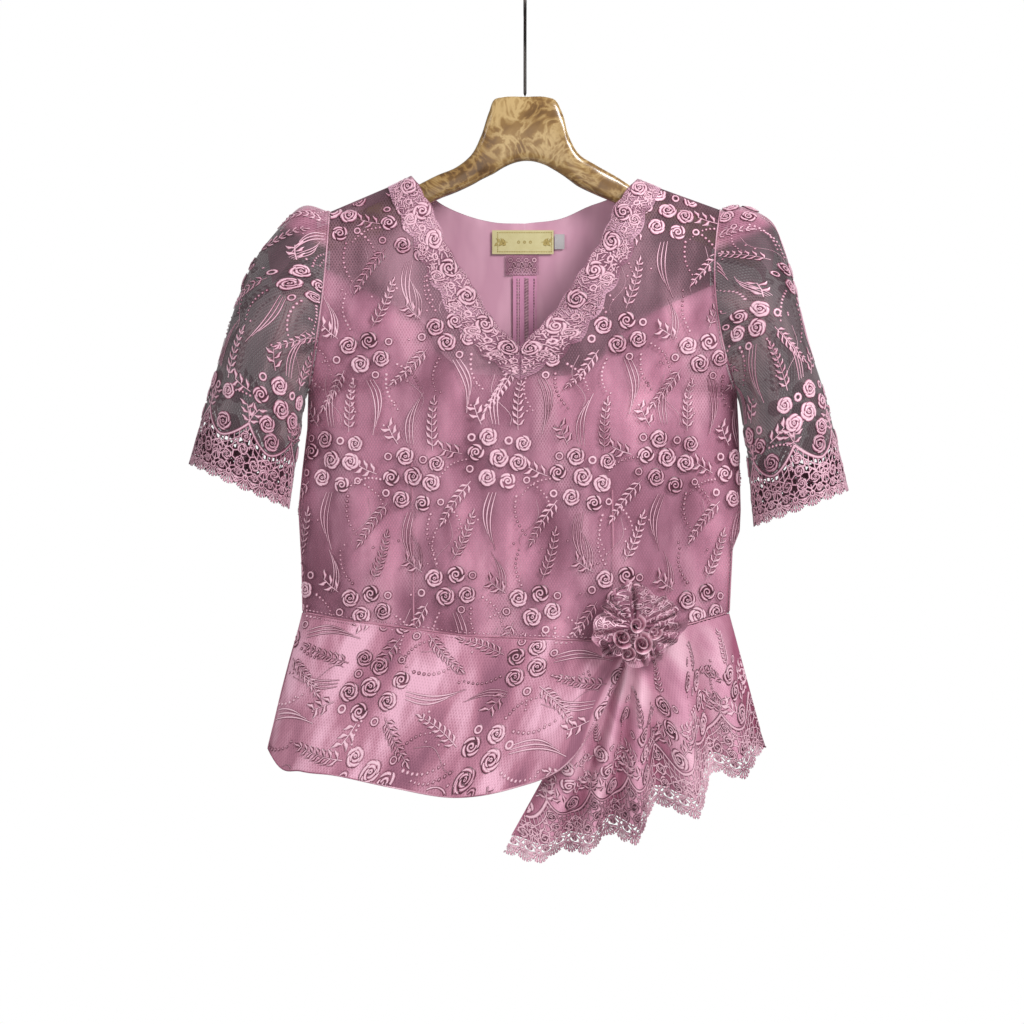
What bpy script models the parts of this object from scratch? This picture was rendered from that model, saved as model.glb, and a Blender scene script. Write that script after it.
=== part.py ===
# Lace blouse with a draped peplum, hung on a broad moulded hanger.
# Metres, +Z up, the front faces -Y, and the origin is the inside top of the hanger's hook.
# The tables and the drawing sizes below are in millimetres. Depth is counted away from the
# hanger's mid plane, so a front piece lies at y = -depth and a back piece at y = +depth.
import math

import bmesh
import bpy
import numpy as np

for item in list(bpy.data.objects):
    bpy.data.objects.remove(item, do_unlink=True)

MM = 0.001

# Cloth and seams
CLOTH = 1.0  # wall of the net with its embroidery, and of the satin
SEAM = 0.7  # gap between two pieces where they are sewn edge to edge
LINING_GAP = 1.0  # air between the net and the satin behind it
TRIM_LIFT = 1.3  # the rose trim lies this far outside the net
TRIM_WALL = 1.0
TRIM_LEFT = [(-139, -204.5), (-120, -240), (-102, -279), (-82, -316), (-52, -362)]  # outer edge
TRIM_RIGHT = [(138, -205.5), (118, -236), (104, -270), (82, -312), (50, -360)]
TRIM_BOTTOM = -400.0
TRIM_SCALLOPS = (2.5, 4.0)  # height at the neck and at the outer edge
TRIM_PROFILE = (0.3, 1.0, 0.45, 0.8, 0.2)  # rise across the trim
ROSE_RISE = 1.6  # height of a rose above the trim's ground
NECK_ROSES = 8  # roses along each side of the neck
LACE_BAR = 0.27  # share of a lace cell taken by the bar on each side of its hole

# Body
CENTRE_X = -5.0  # the point of the neck is a little left of the hook
SECTION_POWER = 2.6  # how square the body's section is
SHOULDER_DROP = 150.0  # below this drop the body has its full depth
SHOULDER_POWER = 2.2  # how quickly the depth grows below the shoulder
SECTION_ROUND = 0.6
BACK_DEPTH = 38.0
BACK_WAIST = -628.0
SIDE_WAIST = -627.0
BACK_HEM = -754.0
BACK_FLUTE = 3.5
BACK_DIP = 8.0  # the back hem drops by this much toward the side seams

# Neck and shoulders
NECK_LEFT = [(-113, -192), (-94, -226), (-77, -266), (-51, -306), (-30, -341), (CENTRE_X, -364)]
NECK_RIGHT = [(112, -195), (92, -222), (78, -255), (54, -293), (30, -329), (CENTRE_X, -364)]
TIP_LEFT = (-195, -227)
TIP_RIGHT = (195, -225)
BACK_NECK_LEFT = [(0, -236), (-30, -235), (-59, -228), (-84, -217), (-113, -192)]
BACK_NECK_RIGHT = [(0, -236), (37, -231), (65, -219), (85, -212), (112, -195)]

# Side seams, as height and x
SIDE_LEFT = [
    (-403, -216), (-444, -217), (-485, -222), (-525, -226), (-577, -223), (-627, -222),
    (-647, -227), (-672, -235), (-706, -244), (-738, -251), (-763, -257), (-900, -290),
]
SIDE_RIGHT = [
    (-407, 211), (-445, 213), (-525, 215), (-546, 214), (-564, 207), (-627, 204),
    (-665, 212), (-691, 218), (-714, 225), (-738, 233), (-763, 241), (-900, 280),
]

# Depth of the front at its middle, as height and depth
FRONT_DEPTH = [(-192, 46), (-330, 46), (-430, 51), (-540, 45), (-640, 40), (-700, 42), (-880, 44)]

# Waist seam of the front and the top of the satin that shows through the net
WAIST = [
    (-222, -627), (-165, -636), (-104, -643), (-60, -649),
    (15, -652), (65, -654), (120, -650), (204, -627),
]
LINING_TOP_LEFT = [(CENTRE_X, -392), (-60, -388), (-85, -370), (-102, -342), (-142, -318), (-203, -286)]
LINING_TOP_RIGHT = [(CENTRE_X, -392), (50, -390), (75, -376), (95, -350), (134, -326), (187, -302)]

# Armhole, as the mid point, the half height vector, the half depth, and how far the seam bows inward
ARM_LEFT = {"x": -205.5, "z": -315.0, "ax": 10.5, "az": 88.0, "depth": 40.0, "bow": 5.0}
ARM_RIGHT = {"x": 203.0, "z": -316.0, "ax": -8.0, "az": 91.0, "depth": 40.0, "bow": -15.0}

# Sleeve rings from armhole to hem: upper end x and z, lower end x and z, half depth
SLEEVE_LEFT = [
    (-195, -227, -216, -403, 40), (-222, -221, -219, -411, 46), (-247, -245, -221, -420, 50),
    (-271, -277, -223, -433, 52), (-289, -320, -225, -447, 52), (-303, -367, -228, -465, 52),
    (-317, -415, -231, -485, 52), (-334, -474, -236, -521, 54),
]
SLEEVE_RIGHT = [
    (195, -225, 211, -407, 40), (218, -222, 214, -415, 46), (245, -236, 216, -425, 50),
    (259, -267, 218, -437, 52), (272, -315, 220, -451, 52), (286, -367, 223, -470, 52),
    (301, -415, 225, -493, 52), (321, -498, 229, -538, 54),
]
SLEEVE_ROWS = [0, 0.5, 1, 2, 3, 4, 5, 5.55, 5.9, 6.25, 6.62, 7]
HEAD_ROWS = [0.5, 1, 2, 2.5]
SLEEVE_COLUMNS = 12  # cells round each half, two to a scallop
SLEEVE_SCALLOP = 5.0
HEAD_GAP = 3.0  # the satin sleeve head lies this far inside the net

# Overlap panel of the peplum: waist x, hem x, hem z and how far it flutes out
OVERLAP = [
    (-222, -257, -763, 0), (-214, -247, -777, 1), (-190, -222, -783, 6), (-150, -185, -787, 4),
    (-110, -129, -799, -3), (-66, -69, -807, 6), (-20, -10, -798, -2), (28, 42, -773, 5),
    (66, 76, -724, 2), (98, 98, -678, 0),
]
OVERLAP_DEPTH = 50.0  # it hangs outside the drape
OVERLAP_OPENS = (20.0, 80.0)  # x where its top edge starts to leave the waist and where it is clear
OVERLAP_EASE = 0.8

# Draped panel: a row for each fold, with its top x, hem x, hem z and hem depth
DRAPE = [
    (204, 241, -765, 0), (188, 215, -793, 31), (168, 187, -786, 20), (148, 171, -831, 37),
    (130, 130, -819, 21), (118, 108, -857, 39), (112, 83, -848, 21), (107, 60, -866, 38),
    (103, 37, -864, 22), (98, 12, -875, 37), (94, -24, -866, 26),
]
DRAPE_ROWS = [0, 0.12, 0.26, 0.4, 0.54, 0.66, 0.76, 0.84, 0.92, 1]
DRAPE_PER_FOLD = 3
DRAPE_SCALLOP = 3.5
DRAPE_EASE = 0.75  # how quickly the folds open below the waist

# Gathered lace corsage over the end of the overlap
CORSAGE_X = 107.0
CORSAGE_Z = -641.0
CORSAGE_STEM = 4.0
CORSAGE_HEAD = 8.5
CORSAGE_REACH = 41.0  # the head's far end, outward from the cloth
# Petals: name, direction in degrees, spread, length, lift off the cloth, waves
PETALS = [
    ("corsage_petal_upper", 35, 170, 46, 10.0, 5),
    ("corsage_petal_left", 172, 150, 41, 18.0, 4),
    ("corsage_petal_lower", 262, 160, 35, 25.5, 4),
]
PETAL_CUP = 6.0
PETAL_WAVE = 2.2

# Zip and the labels at the centre back, as x from, x to, z from, z to
INSIDE_LANE = 3.6  # what is sewn on the satin lies this far inside the back
LABEL = (-33, 29, -242, -266)
SIZE_TAG = (30, 40, -246, -261)
BACK_STAY = (-19, 14, -267, -287)
ZIP_TAPE = (-12, 12, -288, -700)
SLIDER_Z = -247.0
SLIDER_SIZE = (7.0, 3.0, 10.0)
PIN_RADIUS = 1.0
TAB_WIDTH = 4.6
TAB_LENGTH = 21.0
TAB_WALL = 1.1

# Hanger: x, top, bottom and half thickness of its sections
HANGER = [
    (-243, -266, -273, 3.5), (-238, -261, -277, 6), (-225, -253, -276, 8), (-205, -242, -269, 8),
    (-185, -234, -263, 8), (-155, -221, -254, 7.5), (-125, -208, -238, 7), (-107, -200, -226, 7),
    (-88, -190.5, -215, 8), (-68, -182, -207, 9), (-53, -169, -200, 9), (-44, -151, -195, 9),
    (-36, -127, -191, 9), (-30, -114, -188, 9), (-22, -112, -183, 9), (0, -111.6, -176, 9),
    (22, -112, -181, 9), (29, -114, -185, 9), (37, -127, -190, 9), (44, -151, -195, 9),
    (54, -169, -202, 9), (71, -180, -210, 9), (92, -192, -219, 7), (110, -203.5, -228, 6.5),
    (135, -215, -243, 7), (175, -232, -258, 7.5), (205, -247, -272, 8), (225, -259, -281, 8),
    (236, -268, -282, 6), (241, -273, -279, 3.5),
]
HANGER_CORNER = 0.45  # share of the half thickness taken by the rounded edge
WIRE = 1.6  # radius of the hook's wire
HOOK_INNER = 20.0
HOOK_STEM_BOTTOM = -111.2
HOOK_SIDES = 8
# Stem and swan neck of the hook, as depth and height
HOOK_STEM = [(0, HOOK_STEM_BOTTOM), (0, -92), (0, -72), (0.8, -60), (4.5, -49)]
HOOK_START = -60.0
HOOK_END = 205.0


# Materials
def material(name, colour, roughness, metallic=0.0):
    made = bpy.data.materials.new(name)
    made.use_nodes = True
    surface = made.node_tree.nodes["Principled BSDF"]
    surface.inputs["Base Color"].default_value = (*colour, 1.0)
    surface.inputs["Roughness"].default_value = roughness
    surface.inputs["Metallic"].default_value = metallic
    return made


LACE = material("pink_embroidered_net", (0.62, 0.27, 0.42), 0.6)
SATIN = material("pink_satin", (0.72, 0.34, 0.5), 0.38)
TAPE = material("woven_tape", (0.66, 0.3, 0.44), 0.7)
GOLD = material("woven_label", (0.72, 0.62, 0.36), 0.55)
GREY = material("printed_tag", (0.6, 0.58, 0.58), 0.6)
AMBER = material("amber_acrylic", (0.5, 0.3, 0.12), 0.22)
STEEL = material("dark_steel", (0.12, 0.11, 0.11), 0.35, 1.0)


# Curves and borders
def curve(rows, t):
    """Smooth line through hand-set rows: cubic pieces between them, t from 0 to 1 by length in x and z."""
    rows = np.array(rows, float)
    t = np.asarray(t, float)
    steps = np.linalg.norm(np.diff(rows[:, :2], axis=0), axis=1)
    at = np.concatenate(([0.0], np.cumsum(steps))) / steps.sum()
    slope = np.gradient(rows, at, axis=0)
    k = np.clip(np.searchsorted(at, t, side="right") - 1, 0, len(at) - 2)
    width = (at[k + 1] - at[k])[..., None]
    f = (t - at[k])[..., None] / width
    start = rows[k] * (2 * f**3 - 3 * f**2 + 1) + slope[k] * width * (f**3 - 2 * f**2 + f)
    return start + rows[k + 1] * (3 * f**2 - 2 * f**3) + slope[k + 1] * width * (f**3 - f**2)


def at_height(table, z):
    """Value of a table of height and value at each z."""
    heights, values = zip(*reversed(table))
    return np.interp(z, heights, values)


def waist_at(x):
    """Height of the front's waist seam at x."""
    xs, zs = zip(*WAIST)
    return np.interp(x, xs, zs)


def patch(top, bottom, inner, outer, u, v):
    """Surface between four border lines, each a function of 0 to 1 that gives x and z."""
    u = np.asarray(u, float)[None, :]
    v = np.asarray(v, float)[:, None]
    across = (1 - u)[..., None] * inner(v) + u[..., None] * outer(v)
    down = (1 - v)[..., None] * top(u) + v[..., None] * bottom(u)
    zero, one = np.zeros((1, 1)), np.ones((1, 1))
    upper = (1 - u)[..., None] * top(zero) + u[..., None] * top(one)
    lower = (1 - u)[..., None] * bottom(zero) + u[..., None] * bottom(one)
    return across + down - (1 - v)[..., None] * upper - v[..., None] * lower


def line(start, end):
    """Straight border from start to end."""
    start, end = np.array(start, float), np.array(end, float)
    return lambda t: start + (end - start) * np.asarray(t, float)[..., None]


def toward(values, power):
    """Steps from 0 to 1, closer together near 0 as power grows."""
    return np.linspace(0, 1, values + 1) ** power


# Form of the body
def armhole_x(arm, z):
    """x of the armhole seam at height z."""
    cosine = np.clip((z - arm["z"]) / arm["az"], -1, 1)
    return arm["x"] + arm["ax"] * cosine + arm["bow"] * (1 - cosine**2)


def edge_x(left, z):
    """x where the front ends: the armhole seam above the underarm, the side seam below."""
    arm, side = (ARM_LEFT, SIDE_LEFT) if left else (ARM_RIGHT, SIDE_RIGHT)
    bottom = arm["z"] - arm["az"]
    return np.where(z > bottom, armhole_x(arm, z), at_height(side, z))


def edge_depth(left, z):
    """Depth of the armhole seam at height z: half an ellipse, nothing at the side seam."""
    arm = ARM_LEFT if left else ARM_RIGHT
    cosine = np.clip((z - arm["z"]) / arm["az"], -1, 1)
    return arm["depth"] * np.sqrt(1 - cosine**2)


def shoulder_z(x):
    """Height of the shoulder seam at x, level between the neck points."""
    xs = (TIP_LEFT[0], NECK_LEFT[0][0], NECK_RIGHT[0][0], TIP_RIGHT[0])
    zs = (TIP_LEFT[1], NECK_LEFT[0][1], NECK_RIGHT[0][1], TIP_RIGHT[1])
    return np.interp(x, xs, zs)


def depth(x, z, middle):
    """Distance from the mid plane: quick rise below the shoulder, rounded off toward the side."""
    drop = np.clip((shoulder_z(x) - z) / SHOULDER_DROP, 0, 1)
    full = middle * np.sqrt(1 - (1 - drop) ** SHOULDER_POWER)
    left = x < CENTRE_X
    edge = np.where(left, edge_x(True, z), edge_x(False, z))
    rim = np.where(left, edge_depth(True, z), edge_depth(False, z))
    share = np.clip(np.abs(x - CENTRE_X) / np.abs(edge - CENTRE_X), 0, 1)
    return rim + (full - rim) * (1 - share**SECTION_POWER) ** SECTION_ROUND


def front_surface(flat):
    """Front points for an array of x and z."""
    x, z = flat[..., 0], flat[..., 1]
    return np.stack((x, -depth(x, z, at_height(FRONT_DEPTH, z)), z), -1)


def back_surface(flat):
    """Back points for an array of x and z."""
    x, z = flat[..., 0], flat[..., 1]
    return np.stack((x, depth(x, z, BACK_DEPTH), z), -1)


# Walls
def normals(points, facing):
    """Unit normals of a grid of points, turned to the side of facing."""
    down = np.gradient(points, axis=0)
    across = np.gradient(points, axis=1)
    normal = np.cross(across, down)
    length = np.linalg.norm(normal, axis=-1, keepdims=True)
    normal = normal / np.maximum(length, 1e-9)
    return normal * np.where((normal * facing(points)).sum(-1, keepdims=True) < 0, -1, 1)


def forward(points):
    return np.broadcast_to(np.array((0.0, -1.0, 0.0)), points.shape)


def backward(points):
    return np.broadcast_to(np.array((0.0, 1.0, 0.0)), points.shape)


def layer(points, facing, inset, wall, side):
    """Outer and inner grids of a wall that starts inset inside the surface, kept on its side of the seam."""
    normal = normals(points, facing)
    grids = []
    for far in (inset, inset + wall):
        grid = points - normal * np.expand_dims(far, -1) if np.ndim(far) else points - normal * far
        if side:
            grid[..., 1] = side * np.maximum(side * grid[..., 1], SEAM / 2)
        grids.append(grid)
    return grids


class Wall:
    """Closed cloth wall made from one or more patches of outer and inner points."""

    def __init__(self):
        self.mesh = bmesh.new()
        self.known = {}
        self.open_edges = {}

    def corner(self, outer, inner):
        key = tuple(np.round(outer, 4))
        if key not in self.known:
            pair = [self.mesh.verts.new(np.asarray(p) * MM) for p in (outer, inner)]
            self.known[key] = pair
        return self.known[key]

    def face(self, corners):
        """Outer and inner face, both split along the same diagonal so that nested walls stay apart."""
        for three in (corners[:3], [corners[0], corners[2], corners[3]]):
            self.mesh.faces.new([c[0] for c in three])
            self.mesh.faces.new([c[1] for c in reversed(three)])
        for a, b in zip(corners, corners[1:] + corners[:1]):
            edge = frozenset((id(a), id(b)))
            if edge in self.open_edges:
                del self.open_edges[edge]
            else:
                self.open_edges[edge] = (a, b)

    def cell(self, outer, inner, bar):
        """One cell, plain, or with a hole that leaves a bar on each side."""
        corners = [self.corner(o, i) for o, i in zip(outer, inner)]
        if not bar:
            self.face(corners)
            return
        middle_out, middle_in = np.mean(outer, axis=0), np.mean(inner, axis=0)
        hole = [
            self.corner(o + (middle_out - o) * 2 * bar, i + (middle_in - i) * 2 * bar)
            for o, i in zip(outer, inner)
        ]
        for k in range(4):
            after = (k + 1) % 4
            self.face([corners[k], corners[after], hole[after], hole[k]])

    def grid(self, outer, inner, pierced=None):
        """All cells of a patch. pierced(row, column) says which have a hole."""
        rows, columns = outer.shape[:2]
        for j in range(rows - 1):
            for i in range(columns - 1):
                at = ((j, i), (j, i + 1), (j + 1, i + 1), (j + 1, i))
                bar = LACE_BAR if pierced and pierced(j, i) else 0
                self.cell([outer[a] for a in at], [inner[a] for a in at], bar)

    def finish(self, name, look):
        """Closes the rims and puts the wall in the scene."""
        for a, b in self.open_edges.values():
            self.mesh.faces.new((b[0], a[0], a[1], b[1]))
        return place(name, self.mesh, look)


def place(name, mesh, look):
    """Object from a bmesh, shaded smooth."""
    bmesh.ops.recalc_face_normals(mesh, faces=mesh.faces)
    data = bpy.data.meshes.new(name)
    mesh.to_mesh(data)
    mesh.free()
    data.materials.append(look)
    data.shade_smooth()
    data.set_sharp_from_angle(angle=math.radians(40))
    made = bpy.data.objects.new(name, data)
    bpy.context.collection.objects.link(made)
    return made


def cloth(name, grids, look, pierced=None):
    """Wall of one patch."""
    wall = Wall()
    wall.grid(*grids, pierced)
    return wall.finish(name, look)


# Borders of the body's panels
def side_line(left, top):
    """Border from the shoulder tip, or from height top on the armhole, down to the waist."""
    arm = ARM_LEFT if left else ARM_RIGHT
    bottom = arm["z"] - arm["az"]
    waist = waist_at(edge_x(left, SIDE_WAIST))
    inward = SEAM if left else -SEAM

    def border(t):
        t = np.asarray(t, float)
        high = top + (bottom - top) * t / UNDERARM_SHARE
        low = bottom + (waist - bottom) * (t - UNDERARM_SHARE) / (1 - UNDERARM_SHARE)
        z = np.where(t < UNDERARM_SHARE, high, low)
        shift = np.where(t <= UNDERARM_SHARE, inward, 0)
        return np.stack((edge_x(left, z) + shift, z), -1)

    return border


UNDERARM_SHARE = 0.42
UNDERARM_ROWS = (0.37, 0.403)  # extra rows where the armhole turns under
NECK_SHARE = 0.58  # part of the back's top edge that is the neck
BACK_ACROSS = np.array((0, 0.2, 0.36, 0.46, 0.52, 0.555, NECK_SHARE, 0.62, 0.69, 0.78, 0.87, 0.95, 1))


def neck_line(left):
    """Border from the neck point down the neck edge, then down the middle to the waist."""
    rows = NECK_LEFT if left else NECK_RIGHT
    point = rows[-1]
    waist = (CENTRE_X, waist_at(CENTRE_X))

    def border(t):
        t = np.asarray(t, float)
        edge = curve(rows, np.clip(t / UNDERARM_SHARE, 0, 1))
        below = line(point, waist)(np.clip((t - UNDERARM_SHARE) / (1 - UNDERARM_SHARE), 0, 1))
        return np.where((t < UNDERARM_SHARE)[..., None], edge, below)

    return border


def waist_line(left, start_x):
    """Border along the waist from start_x to the side seam."""
    end = edge_x(left, SIDE_WAIST)

    def border(t):
        x = start_x + (end - start_x) * np.asarray(t, float)
        return np.stack((x, waist_at(x)), -1)

    return border


ACROSS = 1 - (1 - toward(9, 1)) ** 1.7  # columns from the middle, closer together at the side


def panel_rows(above, below, power):
    """Rows down a panel: above rows to the underarm, closer at the top, then below rows to the waist."""
    high = UNDERARM_SHARE * toward(above, power)
    low = np.linspace(UNDERARM_SHARE, 1, below + 1)[1:]
    return np.unique(np.concatenate((high, UNDERARM_ROWS, low)))


# Front
def front_bodice():
    wall = Wall()
    for left in (True, False):
        neck = NECK_LEFT[0] if left else NECK_RIGHT[0]
        tip = np.array(TIP_LEFT if left else TIP_RIGHT) + (SEAM if left else -SEAM, 0)
        flat = patch(
            line(neck, tip), waist_line(left, CENTRE_X), neck_line(left),
            side_line(left, tip[1]), ACROSS, panel_rows(8, 7, 1.9),
        )
        wall.grid(*layer(front_surface(flat), forward, 0.0, CLOTH, -1))
    return wall.finish("front_bodice", LACE)


def front_lining():
    halves = []
    for left in (True, False):
        top = LINING_TOP_LEFT if left else LINING_TOP_RIGHT
        halves.append(patch(
            lambda t: curve(top, t), waist_line(left, CENTRE_X),
            line(top[0], (CENTRE_X, waist_at(CENTRE_X))),
            side_line(left, top[-1][1]), ACROSS, panel_rows(3, 7, 1.0),
        ))
    flat = np.concatenate((halves[0][:, ::-1], halves[1][:, 1:]), axis=1)
    grids = layer(front_surface(flat), forward, CLOTH + 2 * LINING_GAP, CLOTH, -1)
    return cloth("front_lining", grids, SATIN)


# Back
def back_half(name, left, inset, look):
    tip = np.array(TIP_LEFT if left else TIP_RIGHT, float) + (SEAM if left else -SEAM, 0)
    neck = BACK_NECK_LEFT if left else BACK_NECK_RIGHT

    def top(t):
        t = np.asarray(t, float)
        along_neck = curve(neck, np.clip(t / NECK_SHARE, 0, 1))
        along_shoulder = line(neck[-1], tip)(np.clip((t - NECK_SHARE) / (1 - NECK_SHARE), 0, 1))
        return np.where((t <= NECK_SHARE)[..., None], along_neck, along_shoulder)

    side = side_line(left, tip[1])
    front_waist = waist_at(edge_x(left, SIDE_WAIST))

    def outer(t):
        below = np.clip((t - UNDERARM_SHARE) / (1 - UNDERARM_SHARE), 0, 1)
        low = (BACK_WAIST - front_waist) * below
        return side(t) + np.stack((np.zeros_like(low), low), -1)

    start = (0, BACK_WAIST)
    end = (edge_x(left, BACK_WAIST), BACK_WAIST)
    rows = panel_rows(6, 5, 1.8)
    flat = patch(top, line(start, end), line(neck[0], start), outer, BACK_ACROSS, rows)
    points = back_surface(flat)
    grids = layer(points, backward, inset, CLOTH, 1)
    for grid in grids:
        gap = -SEAM / 2 if left else SEAM / 2
        grid[..., 0] = np.minimum(grid[..., 0], gap) if left else np.maximum(grid[..., 0], gap)
    return cloth(name, grids, look)


# Peplum
def peplum_back():
    even = np.linspace(-1, 1, 23)
    u = np.sign(even) * (1 - (1 - np.abs(even)) ** 1.5)
    v = np.linspace(0, 1, 6)[:, None]
    z = BACK_WAIST - SEAM + (BACK_HEM - BACK_WAIST + SEAM) * v - BACK_DIP * v * np.abs(u)[None, :] ** 3
    share = (np.abs(u) + u) / 2
    other = (np.abs(u) - u) / 2
    x = edge_x(False, z) * share[None, :] + edge_x(True, z) * other[None, :]
    points = back_surface(np.stack((x, z), -1))
    flute = (1 - np.abs(u) ** 4) * np.cos(3 * math.pi * u)
    points[..., 1] += BACK_FLUTE * v * flute[None, :]
    return cloth("peplum_back", layer(points, backward, 0.0, CLOTH, 1), LACE)


def overlap_points(columns, rows):
    """Overlap panel, from the side seam to under the corsage: straight down from waist to hem."""
    t = np.linspace(0, 1, columns + 1)
    rows_in = [(r[0], waist_at(r[0]), *r[1:]) for r in OVERLAP]
    top = curve(rows_in, t)
    v = np.linspace(0, 1, rows + 1)[:, None]
    x = top[:, 0] + (top[:, 2] - top[:, 0]) * v
    high = np.asarray(waist_at(top[:, 0])) - SEAM
    z = high + (top[:, 3] - high) * v
    near = depth(x, z, OVERLAP_DEPTH * np.ones_like(x)) + top[:, 4] * v
    sewn = depth(x, z, at_height(FRONT_DEPTH, z))
    free, clear = OVERLAP_OPENS
    lift = np.clip((x - free) / (clear - free), 0, 1) * np.ones_like(v)
    share = np.clip(np.maximum(v, lift), 0, 1) ** OVERLAP_EASE
    return np.stack((x, -(sewn + (near - sewn) * share), z), -1)


def drape_points():
    """Draped panel: its folds start at the waist and the corsage and open toward the hem."""
    count = (len(DRAPE) - 1) * DRAPE_PER_FOLD
    fold = np.linspace(0, len(DRAPE) - 1, count + 1)
    table = np.array(DRAPE, float)
    known = np.arange(len(DRAPE))
    top_x = np.interp(fold, known, table[:, 0])
    eased = known[np.minimum(fold.astype(int), len(DRAPE) - 2)]
    part = fold - eased
    part = part * part * (3 - 2 * part)
    hem = table[eased, 1:] + (table[eased + 1, 1:] - table[eased, 1:]) * part[:, None]
    hem[:, 0] = np.interp(fold, known, table[:, 1])
    scallop = np.where(np.arange(count + 1) % 2, DRAPE_SCALLOP, 0)
    v = np.array(DRAPE_ROWS)[:, None]
    top_z = waist_at(top_x) - SEAM
    x = top_x + (hem[:, 0] - top_x) * v
    z = top_z + (hem[:, 1] + scallop - top_z) * v
    start = depth(top_x, top_z, at_height(FRONT_DEPTH, top_z))
    y = -(start + (hem[:, 2] - start) * v**DRAPE_EASE)
    return np.stack((x, y + 0 * x, z), -1)


def drape_hole(row, column):
    """Holes of the lace border: two full rows and every second cell above."""
    last = len(DRAPE_ROWS) - 2
    return row in (last, last - 1) or (row == last - 2 and column % 2 == 0)


# Sleeves
def sleeve_points(rings, arm, side, rows, angles):
    """Half sleeve: elliptical rings from the armhole to the hem, side -1 for the front and 1 for the back."""
    at = np.interp(rows, np.arange(len(rings)), np.linspace(0, 1, len(rings)))
    table = np.array(rings, float)
    index = np.clip(np.array(rows, float), 0, len(rings) - 1)
    slope = np.gradient(table, axis=0)
    k = np.minimum(index.astype(int), len(rings) - 2)
    f = (index - k)[:, None]
    ring = table[k] * (2 * f**3 - 3 * f**2 + 1) + slope[k] * (f**3 - 2 * f**2 + f)
    ring = ring + table[k + 1] * (3 * f**2 - 2 * f**3) + slope[k + 1] * (f**3 - f**2)
    angle = np.asarray(angles)[None, :]
    cosine, sine = np.cos(angle), np.sin(angle)
    middle = (ring[:, 0:2] + ring[:, 2:4]) / 2
    half = (ring[:, 0:2] - ring[:, 2:4]) / 2
    bow = arm["bow"] * np.clip(1 - at[:, None] * 5, 0, 1)
    x = middle[:, 0:1] + half[:, 0:1] * cosine + bow * sine**2
    z = middle[:, 1:2] + half[:, 1:2] * cosine
    y = side * ring[:, 4:5] * sine
    return np.stack((x, y, z), -1)


def sleeve_half(name, rings, arm, side):
    angles = np.linspace(0, math.pi, SLEEVE_COLUMNS + 1)
    points = sleeve_points(rings, arm, side, SLEEVE_ROWS, angles)
    hem = np.arange(SLEEVE_COLUMNS + 1) % 2 == 1
    axis = points[-1] - points[-2]
    axis = axis / np.linalg.norm(axis, axis=-1, keepdims=True)
    points[-1][hem] += axis[hem] * SLEEVE_SCALLOP

    def outward(grid):
        middle = (grid[:, :1] + grid[:, -1:]) / 2
        return grid - middle

    def pierced(row, column):
        last = len(SLEEVE_ROWS) - 2
        return row in (last, last - 1) or (row == last - 2 and column % 2 == 0)

    return cloth(name, layer(points, outward, 0.0, CLOTH, side), LACE, pierced)


def sleeve_head(name, rings, arm):
    """Satin support under the sleeve's top, over both halves in one piece."""
    angles = np.radians(np.arange(-60, 61, 180 / SLEEVE_COLUMNS))
    points = sleeve_points(rings, arm, -1, HEAD_ROWS, angles)

    def outward(grid):
        below = grid.copy()
        below[..., 2] -= 60
        below[..., 1] = 0
        return grid - below

    return cloth(name, layer(points, outward, HEAD_GAP, CLOTH, 0), SATIN)


# Neck trim
def neck_trim(name, left):
    rows = NECK_LEFT if left else NECK_RIGHT
    side = -1 if left else 1
    stop = CENTRE_X + side * SEAM / 2
    outer_rows = (TRIM_LEFT if left else TRIM_RIGHT) + [(stop, TRIM_BOTTOM)]
    along = np.concatenate(([0, 0.01, 0.024], np.linspace(0, 1, NECK_ROSES * 3 + 1)[1:]))
    wave = np.abs(np.sin(NECK_ROSES * math.pi * along))
    end = np.clip(8 * (1 - along), 0, 1) * np.clip(8 * along, 0, 1)
    inner_edge = curve(rows[:-1] + [(stop, rows[-1][1])], along)
    outer_edge = curve(outer_rows, along)
    reach = outer_edge - inner_edge
    reach = reach / np.linalg.norm(reach, axis=-1, keepdims=True)
    inner_edge = inner_edge - reach * (TRIM_SCALLOPS[0] * wave * end)[:, None]
    outer_edge = outer_edge + reach * (TRIM_SCALLOPS[1] * wave * end)[:, None]
    v = np.linspace(0, 1, len(TRIM_PROFILE))[:, None, None]
    flat = inner_edge[None] * (1 - v) + outer_edge[None] * v
    flat[..., 1] = np.minimum(flat[..., 1], shoulder_z(flat[..., 0]))
    points = front_surface(flat)
    rise = ROSE_RISE * (wave * end)[None, :] * np.array(TRIM_PROFILE)[:, None]
    normal = normals(points, forward)
    inner = points + normal * TRIM_LIFT
    outer = points + normal * (TRIM_LIFT + TRIM_WALL + rise)[..., None]
    for grid in (inner, outer):
        grid[..., 1] = np.minimum(grid[..., 1], -SEAM / 2)
        grid[..., 0] = side * np.maximum(side * grid[..., 0], side * stop)
    return cloth(name, (outer, inner), LACE)


# Corsage
def corsage_depth():
    return float(depth(np.array(CORSAGE_X), np.array(CORSAGE_Z), at_height(FRONT_DEPTH, CORSAGE_Z)))


def corsage_seat():
    """Depth at which the stem just clears the cloth all round its foot."""
    x = CORSAGE_X + CORSAGE_STEM * np.array((-1, 1, -1, 1))
    z = CORSAGE_Z + CORSAGE_STEM * np.array((-1, -1, 1, 1))
    return float(depth(x, z, at_height(FRONT_DEPTH, z)).max()) + 0.8


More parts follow.
